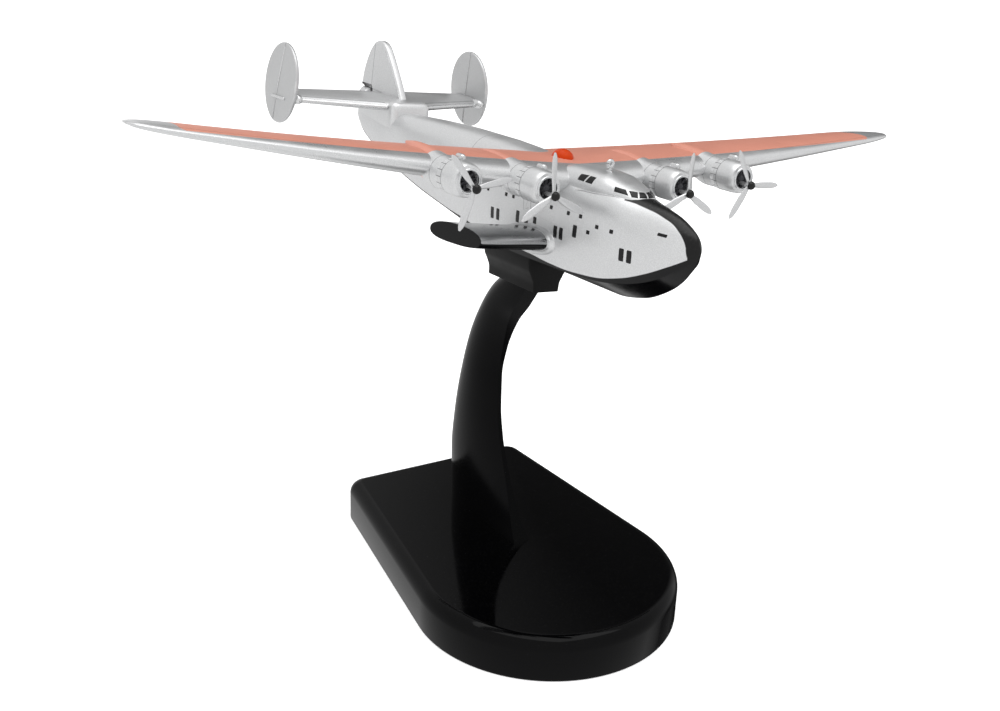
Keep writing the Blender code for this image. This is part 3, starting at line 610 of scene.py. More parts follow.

# %% [markdown]
# Each sponson is a stub wing that meets the hull in a raised fillet. It is silver on top, gloss
# black underneath and on its flat, cut-off end. Its silver is painted darker than the hull's, as
# painted shade for the dark reflection along its top. Its section lies between a foil and a blunt
# oval, and its back end droops towards the hull, where the low windows show above it.

# %% Sponsons: distance from the centre, front y, back y, front z, thickness, drop at the back, bluntness
SPONSON_SECTIONS = [
    (4.2, -4.7, 10.5, -15.6, 3.5, 1.95, 0.3),
    (5.7, -4.65, 10.4, -15.55, 3.45, 1.85, 0.34),
    (6.4, -4.6, 10.35, -15.5, 3.4, 1.8, 0.38),
    (16.7, -4.35, 9.4, -15.15, 3.0, 0.85, 0.95),
    (17.5, -4.24, 9.3, -15.1, 2.9, 0.76, 1.0),
]
SPONSON_STEPS = 36
SPONSON_BLACK_Z = 0.1
SPONSON_BLACK_X = 17.35
# The silver tint here is darker than the hull's: painted shade for the dark reflection on the sponson's
# top. The black underside coat is real paint.
sponson_paint_with_painted_shade = painted("sponson_paint_with_painted_shade", (0.33, 0.335, 0.34), (0.52, 0.52, 0.53), 0.4, (0.17, 0.24),
                        metallic=0.92, coats=[("under_side", *BLACK_COAT)], peel=0.02, specular=0.1)


def sponson_ring(x, section, grow=0.0):
    """Between a foil and a blunt oval, with its back end lowered."""
    front, back, z, thickness, drop, blunt = section
    ring = []
    for i in range(2 * SPONSON_STEPS):
        side = 1.0 if i < SPONSON_STEPS else -1.0
        step = i if i < SPONSON_STEPS else 2 * SPONSON_STEPS - i
        chord = 0.5 * (1.0 - math.cos(math.pi * step / SPONSON_STEPS))
        foil = 1.4845 * math.sqrt(chord) - 0.63 * chord - 1.758 * chord ** 2 + 1.4215 * chord ** 3
        foil -= 0.5175 * chord ** 4
        oval = 0.5 * max(0.0, 1.0 - abs(2.0 * chord - 1.0) ** 2.4) ** 0.42
        half = (foil + blunt * (oval - foil)) * (thickness + 2.0 * grow)
        ring.append((x, front - grow + (back - front + 2.0 * grow) * chord,
                     z - drop * chord ** 2 + side * half))
    return ring


for word, side in SIDES:
    out_x = np.concatenate([np.linspace(4.2, 6.6, 9), np.linspace(7.2, 16.2, 14),
                            np.linspace(16.7, 17.5, 5)])
    rings = [sponson_ring(side * x, row) for x, row in zip(out_x, smooth_table(SPONSON_SECTIONS, out_x))]
    sponson_mesh = skin("sponson_" + word, rings)
    place = vertex_places(sponson_mesh)
    front, back, z, thickness, drop, blunt = smooth_table(SPONSON_SECTIONS,
                                                          np.clip(np.abs(place[:, 0]), 4.2, 17.5)).T
    middle_z = z - drop * np.clip((place[:, 1] - front) / (back - front), 0.0, 1.0) ** 2
    below = middle_z - SPONSON_BLACK_Z - place[:, 2]
    hold(sponson_mesh, "under_side", np.maximum(below, np.abs(place[:, 0]) - SPONSON_BLACK_X))
    piece("sponson_%s_skin" % word, sponson_mesh, sponson_paint_with_painted_shade, replaces=["sponson_" + word])
    print("sponson", word, "faces:", len(sponson_mesh.polygons))

# %% [markdown]
# The tail carries a tailplane on a raised block of the hull, a centre fin, and two canted end
# fins with a bullet on each inner face. The tailplane's front edge is a polished tube.

# %% Tailplane: x, leading edge y, trailing edge y, thickness
TAILPLANE_SECTIONS = [(0.0, 47.2, 63.4, 2.2), (5.0, 49.2, 63.4, 2.1), (17.5, 54.3, 63.4, 1.5),
                      (18.6, 54.9, 63.4, 1.4)]
TAIL_FRONT_Z = -3.9
TAIL_BACK_Z = -3.1
tail_x = np.linspace(0, 18.6, 24)
tail_span = list(zip(tail_x, straight_table(TAILPLANE_SECTIONS, tail_x)))


def tail_ring(x, row):
    return foil_ring(x, (row[0], TAIL_FRONT_Z), (row[1], TAIL_BACK_Z), row[2])


tail_mesh = skin("tailplane", both_sides(tail_span, tail_ring))
place = vertex_places(tail_mesh)
ELEVATOR_Y = 59.6
hold(tail_mesh, "hinge_seam", np.where(np.abs(place[:, 0]) > 2.6, place[:, 1] - ELEVATOR_Y, FAR))
tail_lead = straight_table(TAILPLANE_SECTIONS, np.abs(place[:, 0]))[:, 0]
behind_tube = (place[:, 2] > -3.8) & (np.abs(place[:, 0]) > 3.6)
hold(tail_mesh, "tube_seam", np.where(behind_tube, place[:, 1] - tail_lead - 0.75, FAR))
# shade=0.84 darkens the tailplane's silver: painted shade, toning down how brightly its faces are lit.
tail_silver = silver_paint("tailplane_silver", seams=("hinge_seam", "tube_seam"), seam_width=0.07,
                           shade=0.84)
piece("tailplane_skin", tail_mesh, tail_silver, replaces=["tailplane"])
TAIL_BLOCK_SECTIONS = [
    (46.9, 2.7, -3.9, -7.3),
    (47.2, 3.3, -3.35, -7.3),
    (47.8, 3.7, -3.02, -7.3),
    (48.6, 3.8, -2.95, -7.3),
    (52.0, 3.35, -3.5, -7.2),
    (60.6, 2.1, -3.6, -6.8),
    (61.2, 1.95, -2.3, -6.7),
    (64.6, 1.0, -2.3, -6.6),
    (65.1, 0.7, -2.7, -6.5),
]
TAIL_BLOCK_ROUND = 1.1
block_y = np.concatenate([np.linspace(46.9, 48.8, 13), np.linspace(49.0, 60.4, 12),
                          np.linspace(60.6, 61.4, 5), np.linspace(62.0, 65.1, 9)])
block_rings = []
for y, (edge, top, bottom) in zip(block_y, smooth_table(TAIL_BLOCK_SECTIONS, block_y)):
    corner = [(edge - TAIL_BLOCK_ROUND * (1 - math.cos(t)), top - TAIL_BLOCK_ROUND * (1 - math.sin(t)))
              for t in quarter_turn(7)]
    half = [(0.0, bottom), (edge, bottom)] + corner + [(0.0, top)]
    block_rings.append([(x, y, z) for x, z in whole(half)])
piece("tail_block", skin("tail_block", block_rings), silver_paint("tail_block_silver"),
      replaces=["tail_fairing"])
print("tailplane and block made")

# %% [markdown]
# A thin plate with a soft rim comes from its outline: rings of the same outline, drawn in a
# little and set out sideways along a quarter round, then a flat middle. One function serves the
# centre fin and the end fins. The fins' rudder lines are held as distances.

# %% Fins
def plate_mesh(name, outline, thickness, rim, steps=5):
    """A flat plate standing in the YZ plane with rounded rims, from its outline of (y, z)."""
    flat = np.array(outline, float)
    ahead, behind = np.roll(flat, -1, 0), np.roll(flat, 1, 0)
    run = ahead - behind
    normal = np.stack([run[:, 1], -run[:, 0]], 1) / np.linalg.norm(run, axis=1)[:, None]
    if ((flat + 0.01 * normal - flat.mean(0)) ** 2).sum() < ((flat - flat.mean(0)) ** 2).sum():
        normal = -normal
    half = 0.5 * thickness
    rings = []
    for side in (-1.0, 1.0):
        for turn in quarter_turn(steps)[::-1 if side > 0 else 1]:
            x = side * (half - rim + rim * math.cos(turn))
            drawn = flat - normal * rim * (1 - math.sin(turn))
            rings.append([(x, y, z) for y, z in drawn])
    return skin(name, rings, sharp=50.0)


def smooth_outline(points, steps):
    """A closed curve through a few outline points, with corners kept where points repeat."""
    given = [Vector(p) for p in points]
    made = []
    for i, here in enumerate(given):
        before, there, after = given[i - 1], given[(i + 1) % len(given)], given[(i + 2) % len(given)]
        before = here if (before - here).length < 1e-6 else before
        after = there if (after - there).length < 1e-6 else after
        if (there - here).length < 1e-6:
            continue
        for k in range(steps):
            t = k / steps
            bend = 2 * before - 5 * here + 4 * there - after
            spot = 0.5 * ((2 * here) + (there - before) * t + bend * t * t
                          + (3 * here - before - 3 * there + after) * t ** 3)
            made.append(tuple(spot))
    return made


FIN_OUTLINE = [(49.5, -3.6), (49.5, -3.6), (52.3, 0.4), (55.3, 4.1), (57.1, 5.8), (59.0, 6.3), (60.8, 5.8),
               (62.6, 3.9), (64.1, 0.8), (64.7, -2.0), (64.7, -2.0), (60.8, -2.0), (60.8, -2.0),
               (60.6, -3.6), (60.6, -3.6)]
fin_mesh = plate_mesh("centre_fin", smooth_outline(FIN_OUTLINE, 6), 1.4, 0.45)
place = vertex_places(fin_mesh)
FIN_HINGE_Y, FIN_HINGE_SLANT = 60.7, 0.06
hold(fin_mesh, "hinge_seam", place[:, 1] - FIN_HINGE_Y + FIN_HINGE_SLANT * place[:, 2])
piece("centre_fin_skin", fin_mesh, silver_paint("centre_fin_silver", seams=("hinge_seam",)),
      replaces=["centre_fin"])
END_FIN_PLACE = Vector((18.95, 59.15, -1.6))
END_FIN_HALF = (6.1, 6.8)
END_FIN_CANT = math.radians(3.5)
RUDDER_LINE = [(-7.9, 60.5), (-3.2, 60.1), (0.5, 59.4), (4.6, 58.6)]


def end_fin_place(side):
    stand = AIRCRAFT @ Matrix.Translation(END_FIN_PLACE * Vector((side, 1.0, 1.0)) * MM)
    return stand @ Matrix.Rotation(-side * END_FIN_CANT, 4, "Y")


# shade=0.8 darkens the end fins' silver: painted shade, toning down how brightly their flat sides are lit.
end_fin_silver = silver_paint("end_fin_silver", seams=("hinge_seam",), rub=0.4, shade=0.8)
for word, side in SIDES:
    outline = [(END_FIN_HALF[0] * math.cos(t), END_FIN_HALF[1] * math.sin(t)) for t in full_turn(72)]
    end_fin_mesh = plate_mesh("end_fin_" + word, outline, 0.7, 0.3)
    place = vertex_places(end_fin_mesh) + np.array([0.0, END_FIN_PLACE.y, END_FIN_PLACE.z])
    rudder_line = np.interp(place[:, 2], *np.array(RUDDER_LINE).T)
    hold(end_fin_mesh, "hinge_seam", place[:, 1] - rudder_line)
    piece("end_fin_%s_skin" % word, end_fin_mesh, end_fin_silver, place=end_fin_place(side),
          replaces=["end_fin_" + word])
print("fins made")

# %% [markdown]
# Turned pieces share one function: a profile of radius and distance back from the front, swept
# round the line of flight. The cowlings, the engine faces, the bullets, the caps and the small
# knobs are all made with it, each about its own axis.

# %% Turned pieces
def turned_mesh(name, profile, steps=48, sharp=40.0, capped=True):
    """Sweep (radius, aft) pairs round the Y axis."""
    turns = full_turn(steps)
    rings = [[(radius * math.cos(t), aft, radius * math.sin(t)) for t in turns] for radius, aft in profile]
    return skin(name, rings, capped, sharp)


def arc(centre, radius, start, end, steps):
    """Points on an arc, from start to end in degrees."""
    turns = [math.radians(start + (end - start) * i / steps) for i in range(steps + 1)]
    return [(centre[0] + radius * math.cos(t), centre[1] + radius * math.sin(t)) for t in turns]


def at(x, y, z):
    return AIRCRAFT @ Matrix.Translation(Vector((x, y, z)) * MM)


bullet_profile = [(0.02, -0.85), (0.35, -0.75), (0.62, -0.45), (0.8, 0.0), (0.86, 0.5), (0.82, 1.4),
                  (0.72, 2.7), (0.55, 4.6), (0.38, 6.2), (0.02, 7.4)]
BULLET_PLACE = (18.2, 54.0, -3.75)
bullet_silver = silver_paint("bullet_silver", gloss=(0.18, 0.26))
for word, side in SIDES:
    piece("bullet_" + word, turned_mesh("bullet_" + word, bullet_profile, 28, 60.0), bullet_silver,
          place=at(side * BULLET_PLACE[0], *BULLET_PLACE[1:]))
print("bullets made")

# %% [markdown]
# Behind each cowling a nacelle fairs into the wing and ends in a point on its upper side. Its
# crest stands a little above the wing, and the coral band runs over it, so it holds the same
# distance into the band as the wing does.

# %% Nacelles
ENGINES = [
    ("starboard_outer", -24.2, -5.9, -12.2),
    ("starboard_inner", -11.9, -6.9, -12.8),
    ("port_inner", 11.9, -6.9, -12.8),
    ("port_outer", 24.2, -5.9, -12.2),
]
NACELLE_SECTIONS = [(0.0, 0.97, 0.0), (0.2, 1.0, 0.02), (0.4, 0.93, 0.2), (0.6, 0.74, 0.48),
                    (0.8, 0.46, 0.76), (1.0, 0.08, 1.0)]
HUB_TO_LIP = 1.6
COWL_RISE = 0.65
COWL_RADIUS = 2.4
COWL_LENGTH = 5.0
NACELLE_RADIUS = 2.35
NACELLE_LENGTH = 12.2
NACELLE_RISE = 2.35
nacelle_paint = silver_paint("nacelle_silver", seams=("ring_seam",), coats=[("band", *CORAL_COAT)])
for word, x, z, y in ENGINES:
    start = y + HUB_TO_LIP + COWL_LENGTH
    along = np.linspace(0, 1, 34)
    rings = []
    for share, (size, rise) in zip(along, smooth_table(NACELLE_SECTIONS, along)):
        radius, centre = NACELLE_RADIUS * size, z + COWL_RISE + NACELLE_RISE * rise
        back = start + NACELLE_LENGTH * share
        ring = [(x + radius * math.cos(t), back, centre + radius * math.sin(t)) for t in full_turn(48)]
        rings.append(ring)
    nacelle_mesh = skin("nacelle_" + word, rings)
    place = vertex_places(nacelle_mesh)
    hold(nacelle_mesh, "band", np.where(place[:, 2] > z - 1.0, place[:, 1] - BAND_FRONT_Y, -1.0))
    hold(nacelle_mesh, "ring_seam", place[:, 1] - start - 1.6)
    piece("nacelle_%s_skin" % word, nacelle_mesh, nacelle_paint, replaces=["nacelle_" + word])
print("nacelles made")

# %% [markdown]
# A cowling is a barrel with a rolled, brighter lip round the mouth, a recess, and a ring of
# cowl flaps at its back. Inside sits a dark radial engine: two rows would be hidden, so one row
# of cylinders and a crankcase are enough for what shows through the mouth.

# %% Cowlings and engines
LIP = 0.32
MOUTH = 1.42
FLAP_STEP = 22.5
cowl_paint = silver_paint("cowling_silver", seams=("flap_seam", "flap_slots"), gloss=(0.33, 0.42),
                          seam_width=0.06, rub=0.2)
lip_metal = painted("cowl_lip_bright", (0.7, 0.71, 0.72), (0.85, 0.85, 0.86), 0.3, (0.16, 0.24),
                    metallic=0.95, peel=0.03)
engine_dark = painted("engine_dark", (0.035, 0.035, 0.04), (0.12, 0.12, 0.13), 0.5, (0.35, 0.5),
                      metallic=0.6)
cowl_profile = [(0.02, 1.3), (MOUTH, 1.3), (MOUTH, 0.8), (MOUTH, 0.45)]
cowl_profile += [(MOUTH + 0.5 * LIP, 0.3), (MOUTH + LIP, 0.22), (COWL_RADIUS - 0.3, 0.34),
                 (COWL_RADIUS - 0.16, 0.6), (COWL_RADIUS - 0.06, 1.1), (COWL_RADIUS, 1.8),
                 (COWL_RADIUS, 3.5), (COWL_RADIUS, 3.6), (COWL_RADIUS, 4.15)]
cowl_profile += [(COWL_RADIUS - 0.07, 4.2), (COWL_RADIUS - 0.07, 4.3), (COWL_RADIUS, 4.35),
                 (COWL_RADIUS - 0.03, 4.7), (COWL_RADIUS - 0.12, COWL_LENGTH), (0.02, COWL_LENGTH)]
lip_profile = arc((MOUTH + 0.17, 0.18), 0.17, -180, 100, 12) + [(MOUTH + 0.1, 0.5), (MOUTH + 0.02, 0.5)]
lip_profile.append(lip_profile[0])
CASE_PROFILE = [(0.02, 0.42), (0.3, 0.45), (0.5, 0.6), (0.55, 0.85), (0.6, 1.0), (1.38, 1.05), (1.38, 1.28),
                (0.02, 1.28)]
CYLINDERS = 9
CYLINDER_FOOT = Vector((0.0, 0.86, 0.52))
COOLING_FINS = 5
FIN_PITCH = 0.16


def engine_mesh(name):
    """Crankcase, a ring of finned cylinders and a back plate, as one mesh."""
    parts = [turned_mesh(name + "_case", CASE_PROFILE, 32)]
    for i in range(CYLINDERS):
        barrel = [(0.02, 0.0)]
        for k in range(COOLING_FINS):
            foot = FIN_PITCH * k
            barrel += [(0.23, 0.02 + foot), (0.23, 0.1 + foot), (0.18, 0.11 + foot), (0.18, 0.17 + foot)]
        barrel.append((0.02, 0.84))
        mesh = turned_mesh(name + "_cylinder", barrel, 12, 20.0)
        stand_up = Matrix.Rotation(math.radians(360.0 / CYLINDERS * i), 4, "Y")
        stand_up = stand_up @ Matrix.Translation(CYLINDER_FOOT * MM)
        mesh.transform(stand_up @ Matrix.Rotation(math.radians(90.0), 4, "X"))
        parts.append(mesh)
    return joined(name, parts)


for word, x, z, y in ENGINES:
    mouth_place = at(x, y + HUB_TO_LIP, z + COWL_RISE)
    cowl_mesh = turned_mesh("cowling_" + word, cowl_profile, 64, 30.0)
    place = vertex_places(cowl_mesh)
    ring_angle = np.degrees(np.arctan2(place[:, 0], place[:, 2]))
    outside = np.hypot(place[:, 0], place[:, 2]) > 2.0
    hold(cowl_mesh, "flap_seam", np.where(outside, place[:, 1] - 3.6, FAR))
    off_slot = np.abs((ring_angle + 0.5 * FLAP_STEP) % FLAP_STEP - 0.5 * FLAP_STEP)
    off_slot = off_slot * math.radians(COWL_RADIUS)
    hold(cowl_mesh, "flap_slots", np.where(outside & (place[:, 1] > 3.55), off_slot, FAR))
    piece("cowling_%s_skin" % word, cowl_mesh, [cowl_paint, engine_dark], place=mouth_place,
          replaces=["cowling_" + word])
    for face in cowl_mesh.polygons:
        middle = face.center / MM
        face.material_index = 1 if math.hypot(middle.x, middle.z) < MOUTH - 0.01 and middle.y < 2.0 else 0
    piece("cowl_lip_" + word, turned_mesh("cowl_lip_" + word, lip_profile, 64, 60.0, capped=False),
          lip_metal, place=mouth_place)
    piece("engine_%s_detail" % word, engine_mesh("engine_" + word), engine_dark, place=mouth_place,
          replaces=["engine_" + word])
print("cowlings and engines made")

# %% [markdown]
# Each propeller has three twisted blades on a small boss, a shaft and a black cap. All of it
# rides on its own body, which turns about the shaft. The blade is a loft of flattened ellipses.
# The cowlings stand COWL_RISE above the shafts, so a shaft's end only catches the lower edge of
# its engine's nose.

# %% Propellers
PROPELLER_RADIUS = 5.85
BLADE_ROOT = 0.2
BLADE_ANGLES = {"starboard_outer": -42.0, "starboard_inner": -5.0, "port_inner": 1.0, "port_outer": -29.0}
BLADE_SECTIONS = [(0.0, 0.55, 0.5, 34.0), (0.14, 0.74, 0.42, 28.0), (0.4, 1.02, 0.34, 18.0),
                  (0.7, 1.04, 0.26, 12.0), (0.9, 0.78, 0.2, 9.0), (1.0, 0.28, 0.14, 8.0)]
blade_silver = painted("blade_silver", (0.6, 0.605, 0.61), (0.8, 0.8, 0.81), 0.5, (0.26, 0.34),
                       metallic=0.8, peel=0.05, rub=0.2)
cap_black = painted("cap_black", (0.004, 0.004, 0.004), (0.012, 0.012, 0.012), 0.3, (0.16, 0.24), peel=0.03,
                    dust=0.01, specular=0.3)
BOSS_PROFILE = [(0.02, 0.0), (0.42, 0.0), (0.5, 0.08), (0.5, 0.62), (0.42, 0.7), (0.28, 0.72), (0.28, 2.15),
                (0.02, 2.15)]
BLADE_SET_BACK = 0.35
BLADE_STEPS = 20


def blades_mesh(name):
    """Three blades, the boss and the shaft, about the hub's own axes."""
    parts = []
    tip_shares = 0.9 + 0.1 * np.sin(0.5 * math.pi * np.linspace(0, 1, 8)[1:])
    shares = np.concatenate([np.linspace(0, 0.9, 22), tip_shares])
    for i in range(3):
        rings = []
        for share, (width, thick, pitch) in zip(shares, smooth_table(BLADE_SECTIONS, shares)):
            c, s = math.cos(math.radians(pitch)), math.sin(math.radians(pitch))
            out = BLADE_ROOT + (PROPELLER_RADIUS - BLADE_ROOT) * share
            ring = []
            for turn in full_turn(BLADE_STEPS):
                u, v = 0.5 * width * math.cos(turn), 0.5 * thick * math.sin(turn)
                ring.append((u * c - v * s, u * s + v * c + BLADE_SET_BACK, out))
            rings.append(ring)
        mesh = skin(name + "_blade", rings, sharp=60.0)
        mesh.transform(Matrix.Rotation(2 * math.pi * i / 3, 4, "Y"))
        parts.append(mesh)
    return joined(name, parts + [turned_mesh(name + "_boss", BOSS_PROFILE, 28)])


CAP_RADIUS = 0.65
cap_profile = [(0.02, -0.7)]
for turn in np.linspace(0.15, 0.5 * math.pi, 8):
    cap_profile.append((CAP_RADIUS * math.sin(turn), -0.05 - CAP_RADIUS * math.cos(turn)))
cap_profile += [(0.6, -0.03), (0.02, -0.03)]
for word, x, z, y in ENGINES:
    body = "propeller_" + word
    hub = at(x, y, z) @ Matrix.Rotation(math.radians(BLADE_ANGLES[word]), 4, "Y")
    piece(body + "_blades_skin", blades_mesh(body + "_blades"), blade_silver, place=hub, body=body,
          replaces=[body + "_blades"])
    piece(body + "_cap_skin", turned_mesh(body + "_cap", cap_profile, 32, 50.0), cap_black, place=hub,
          body=body, replaces=[body + "_cap"])
print("propellers made:", len(ENGINES))

# %% [markdown]
# Windows are printed on the real model as dark, glossy patches. Here each is a thin plate with
# rounded corners, laid on the skin by casting rays from the side, so it follows the hull's
# curve. Their places were measured from the photograph in the aircraft's own axes.

# %% Windows
def surface_of(*objects):
    """The skins as one surface in the aircraft's axes, for casting rays on."""
    form = bmesh.new()
    for made in objects:
        form.from_mesh(made.data)
    tree = BVHTree.FromBMesh(form)
    form.free()
    return tree


def pane_points(middle, size, corner=0.06, steps=8):
    """Rows of (u, v) that fill a rounded rectangle."""
    rows = []
    for i in range(steps + 1):
        v = size[1] * (i / steps - 0.5)
        over = max(0.0, abs(v) - (0.5 * size[1] - corner))
        half = 0.5 * size[0] - corner + math.sqrt(max(0.0, corner ** 2 - over ** 2))
        rows.append([(middle[0] + half * (2 * k / steps - 1), middle[1] + v) for k in range(steps + 1)])
    return rows


def lay_panes(name, tree, panes, side, material, lift=0.012):
    """Lay panes on the skin: rows of (y, z) cast in from one side, or of (x, y, z) drawn to it."""
    form = bmesh.new()
    for rows in panes:
        verts = []
        for row in rows:
            line = []
            for spot in row:
                if len(spot) == 3:
                    hit, normal = tree.find_nearest(Vector(spot) * MM)[:2]
                else:
                    hit, normal = tree.ray_cast(Vector((side * 30.0, *spot)) * MM,
                                                Vector((-side, 0.0, 0.0)))[:2]
                line.append(form.verts.new(hit + normal * lift * MM))
            verts.append(line)
        for near, far in zip(verts, verts[1:]):
            for i in range(len(near) - 1):
                corners = [near[i], near[i + 1], far[i + 1], far[i]]
                if len(set(v.co.to_tuple(9) for v in corners)) == 4:
                    form.faces.new(corners)
    bmesh.ops.recalc_face_normals(form, faces=form.faces)
    for face in form.faces:
        if face.normal.dot(tree.find_nearest(face.calc_center_median())[1]) < 0:
            face.normal_flip()
    mesh = bpy.data.meshes.new(name)
    form.to_mesh(mesh)
    form.free()
    mesh.shade_smooth()
    made = piece(name, mesh, material)
    step = made.modifiers.new("plate", "SOLIDIFY")
    step.thickness = 0.03 * MM
    step.offset = -1.0
    return made


SMALL_PANES = [(12.95, -11.0), (8.0, -10.85), (6.1, -10.8), (-3.45, -10.45), (-7.5, -10.45),
               (-10.15, -10.35), (-13.65, -11.1), (-12.05, -12.2), (-16.4, -11.15)]
TALL_PANES = [(11.3, -14.3), (9.75, -14.25), (4.45, -13.45), (2.15, -13.5), (-5.05, -13.65), (-6.4, -13.65),
              (-9.35, -12.65), (-18.65, -13.85), (-20.0, -13.85)]
LOW_PANE = (0.05, -13.1)
BOW_PANE = (-24.45, -9.9)
SMALL_SIZE, TALL_SIZE, LOW_SIZE, BOW_SIZE = (0.66, 0.56), (0.86, 1.75), (0.8, 1.0), (1.5, 0.4)
window_black = painted("window_black", (0.003, 0.003, 0.0035), (0.008, 0.008, 0.009), 0.2, (0.2, 0.3),
                       peel=0.03, dust=0.005, specular=0.3)
hull_surface = surface_of(hull_skin)
for word, side in SIDES:
    panes = [pane_points(spot, SMALL_SIZE) for spot in SMALL_PANES]
    panes += [pane_points(spot, TALL_SIZE) for spot in TALL_PANES]
    panes += [pane_points(LOW_PANE, LOW_SIZE), pane_points(BOW_PANE, BOW_SIZE)]
    lay_panes("hull_windows_" + word, hull_surface, panes, side, window_black)
print("hull windows a side:", len(panes))

# %% [markdown]
# The flight deck has two slanted panes on each side, and ahead of them a long pane and a
# windscreen of two panes a side. The first two are cast in from the side as the hull's windows
# are. The others bend round the nose of the deck, so their corners are given in space.

# %% Flight deck windows
SIDE_PANES = [
    [(-7.04, -5.76), (-7.19, -4.95), (-8.75, -4.88), (-8.4, -5.8)],
    [(-8.7, -5.82), (-9.05, -4.9), (-10.2, -4.93), (-10.1, -5.84)],
]
SCREEN_PANES = [
    [(-2.7, -13.86, -5.48), (-3.07, -14.17, -6.08), (-2.28, -16.41, -6.25), (-2.08, -15.43, -5.61)],
    [(-1.88, -15.88, -5.67), (-2.08, -16.88, -6.36), (-1.48, -17.52, -6.37), (-1.04, -16.76, -5.72)],
    [(-0.86, -16.81, -5.7), (-1.28, -17.62, -6.34), (-0.12, -17.84, -6.35), (-0.12, -17.09, -5.68)],
]
deck_surface = surface_of(deck_skin)


def fill_quad(corners, steps=8):
    """Rows of points that fill a four-sided pane."""
    a, b, c, d = [Vector(p) for p in corners]
    rows = []
    for i in range(steps + 1):
        t = i / steps
        rows.append([tuple((a.lerp(b, t)).lerp(d.lerp(c, t), k / steps)) for k in range(steps + 1)])
    return rows


for word, side in SIDES:
    lay_panes("deck_side_windows_" + word, deck_surface, [fill_quad(c) for c in SIDE_PANES], side,
              window_black, lift=0.02)
    screen = [fill_quad([(-side * x, y, z) for x, y, z in corners]) for corners in SCREEN_PANES]
    lay_panes("windscreen_" + word, deck_surface, screen, side, window_black, lift=0.02)
print("flight deck panes a side:", len(SIDE_PANES) + len(SCREEN_PANES))

# %% [markdown]
# The dome on the wing is a drop of orange enamel, a little longer fore and aft than across.
# Its saturated tint is kept from washing out by a weak reflection.

# %% Roof dome
DOME_PLACE = (-0.25, 2.2, -4.4)
DOME_HEIGHT = 1.4
DOME_RADIUS = 1.52
DOME_STRETCH = 1.25
dome_profile = [(0.02, -DOME_HEIGHT)]
dome_turns = np.linspace(0.1, 0.5 * math.pi, 16)
dome_profile += [(DOME_RADIUS * math.sin(t), -DOME_HEIGHT * math.cos(t)) for t in dome_turns]
dome_mesh = turned_mesh("roof_dome", dome_profile + [(1.5, 0.25), (0.02, 0.25)], 48, 60.0)
upright = Matrix.Rotation(math.radians(-90.0), 4, "X")
dome_mesh.transform(Matrix.Diagonal((1.0, DOME_STRETCH, 1.0, 1.0)) @ upright)
dome_orange = painted("dome_orange", (0.52, 0.042, 0.003), (0.6, 0.07, 0.005), 0.2, (0.22, 0.3), peel=0.02,
                      dust=0.0, specular=0.1)
piece("roof_dome_skin", dome_mesh, dome_orange, place=at(*DOME_PLACE), replaces=["roof_dome"])
print("dome made")

# %% [markdown]
# Small fittings catch the light: the intake knobs, the rods along edges and rudder lines, and
# the strakes on the end fins. A rod is a circle swept along a line, which is enough for all the
# straight or gently curved ones.

# %% Rods and knobs
def rod_mesh(name, points, radius, steps=14):
    """A round rod along points in millimetres, closed at both ends."""
    path = [Vector(p) for p in points]
    rings = []
    for i, spot in enumerate(path):
        along = (path[min(i + 1, len(path) - 1)] - path[max(i - 1, 0)]).normalized()
        across = along.cross(Vector((0.0, 0.0, 1.0)))
        if across.length < 0.1:
            across = along.cross(Vector((1.0, 0.0, 0.0)))
        across.normalize()
        lift = across.cross(along)
        outward = [across * math.cos(t) + lift * math.sin(t) for t in full_turn(steps)]
        rings.append([tuple(spot + radius * out) for out in outward])
    return skin(name, rings, sharp=60.0)


def capsule(radius, length, steps=6):
    """A profile with round ends, from y = 0 aft."""
    front = [(max(0.02, radius * math.sin(t)), radius * (1 - math.cos(t))) for t in quarter_turn(steps)]
    return front + [(r, length - a) for r, a in reversed(front)]


bright_silver = painted("fitting_silver", (0.62, 0.625, 0.63), (0.82, 0.82, 0.83), 0.4, (0.2, 0.28),
                        metallic=0.85, peel=0.03, dust=0.02)
EDGE_RODS = [("tailplane_tube_", 0.4, [(3.9, 48.9, -3.95), (5.0, 49.35, -3.95), (17.4, 54.4, -3.93)]),
             ("fin_ridge_", 0.17, [(0.6, 50.1, -3.4), (0.6, 52.8, 0.3), (0.6, 55.6, 3.7),
                                   (0.55, 56.7, 4.8)]), ("deck_sill_", 0.12,
                                                         [(4.4, -7.2, -7.25), (4.2, -9.2, -6.94),
                                                          (3.99, -11.0, -6.91), (3.64, -12.77, -6.78),
                                                          (3.25, -14.33, -6.7), (2.89, -15.47, -6.76)]), ]
KNOBS = {"starboard_outer": (3.3, -3.5, -3.4), "starboard_inner": (3.7, -4.9, -4.55),
         "port_inner": (4.1, -5.2, -4.4), "port_outer": (4.0, -4.5, -3.25)}


def rod(name, points, radius, place=AIRCRAFT):
    piece(name, rod_mesh(name, points, radius), bright_silver, place=place)


for word, x, z, y in ENGINES:
    aside, knob_y, knob_z = KNOBS[word]
    piece("intake_knob_" + word, turned_mesh("intake_knob", capsule(0.48, 1.9), 20, 60.0), bright_silver,
          place=at(x + aside, knob_y, knob_z))
for word, side in SIDES:
    lean = end_fin_place(side)
    for face_word, face_side in (("outer", 1.0), ("inner", -1.0)):
        spot = Matrix.Translation(Vector((side * face_side * 0.45, -2.65, -2.45)) * MM)
        line = [(side * face_side * 0.33, y - END_FIN_PLACE.y, z - END_FIN_PLACE.z) for z, y in RUDDER_LINE]
        rod("rudder_line_%s_%s" % (word, face_word), line, 0.13, lean)
        strake = turned_mesh("fin_strake", capsule(0.28, 5.1), 18, 60.0)
        piece("fin_strake_%s_%s" % (word, face_word), strake, bright_silver, place=lean @ spot)
    for name, radius, points in EDGE_RODS:
        rod(name + word, [(side * x, y, z) for x, y, z in points], radius)
print("rods and knobs made")

# %% [markdown]
# The loop on the flight deck's roof is a small thick ring on a post with a foot. The ring is a
# rod bent round a circle.

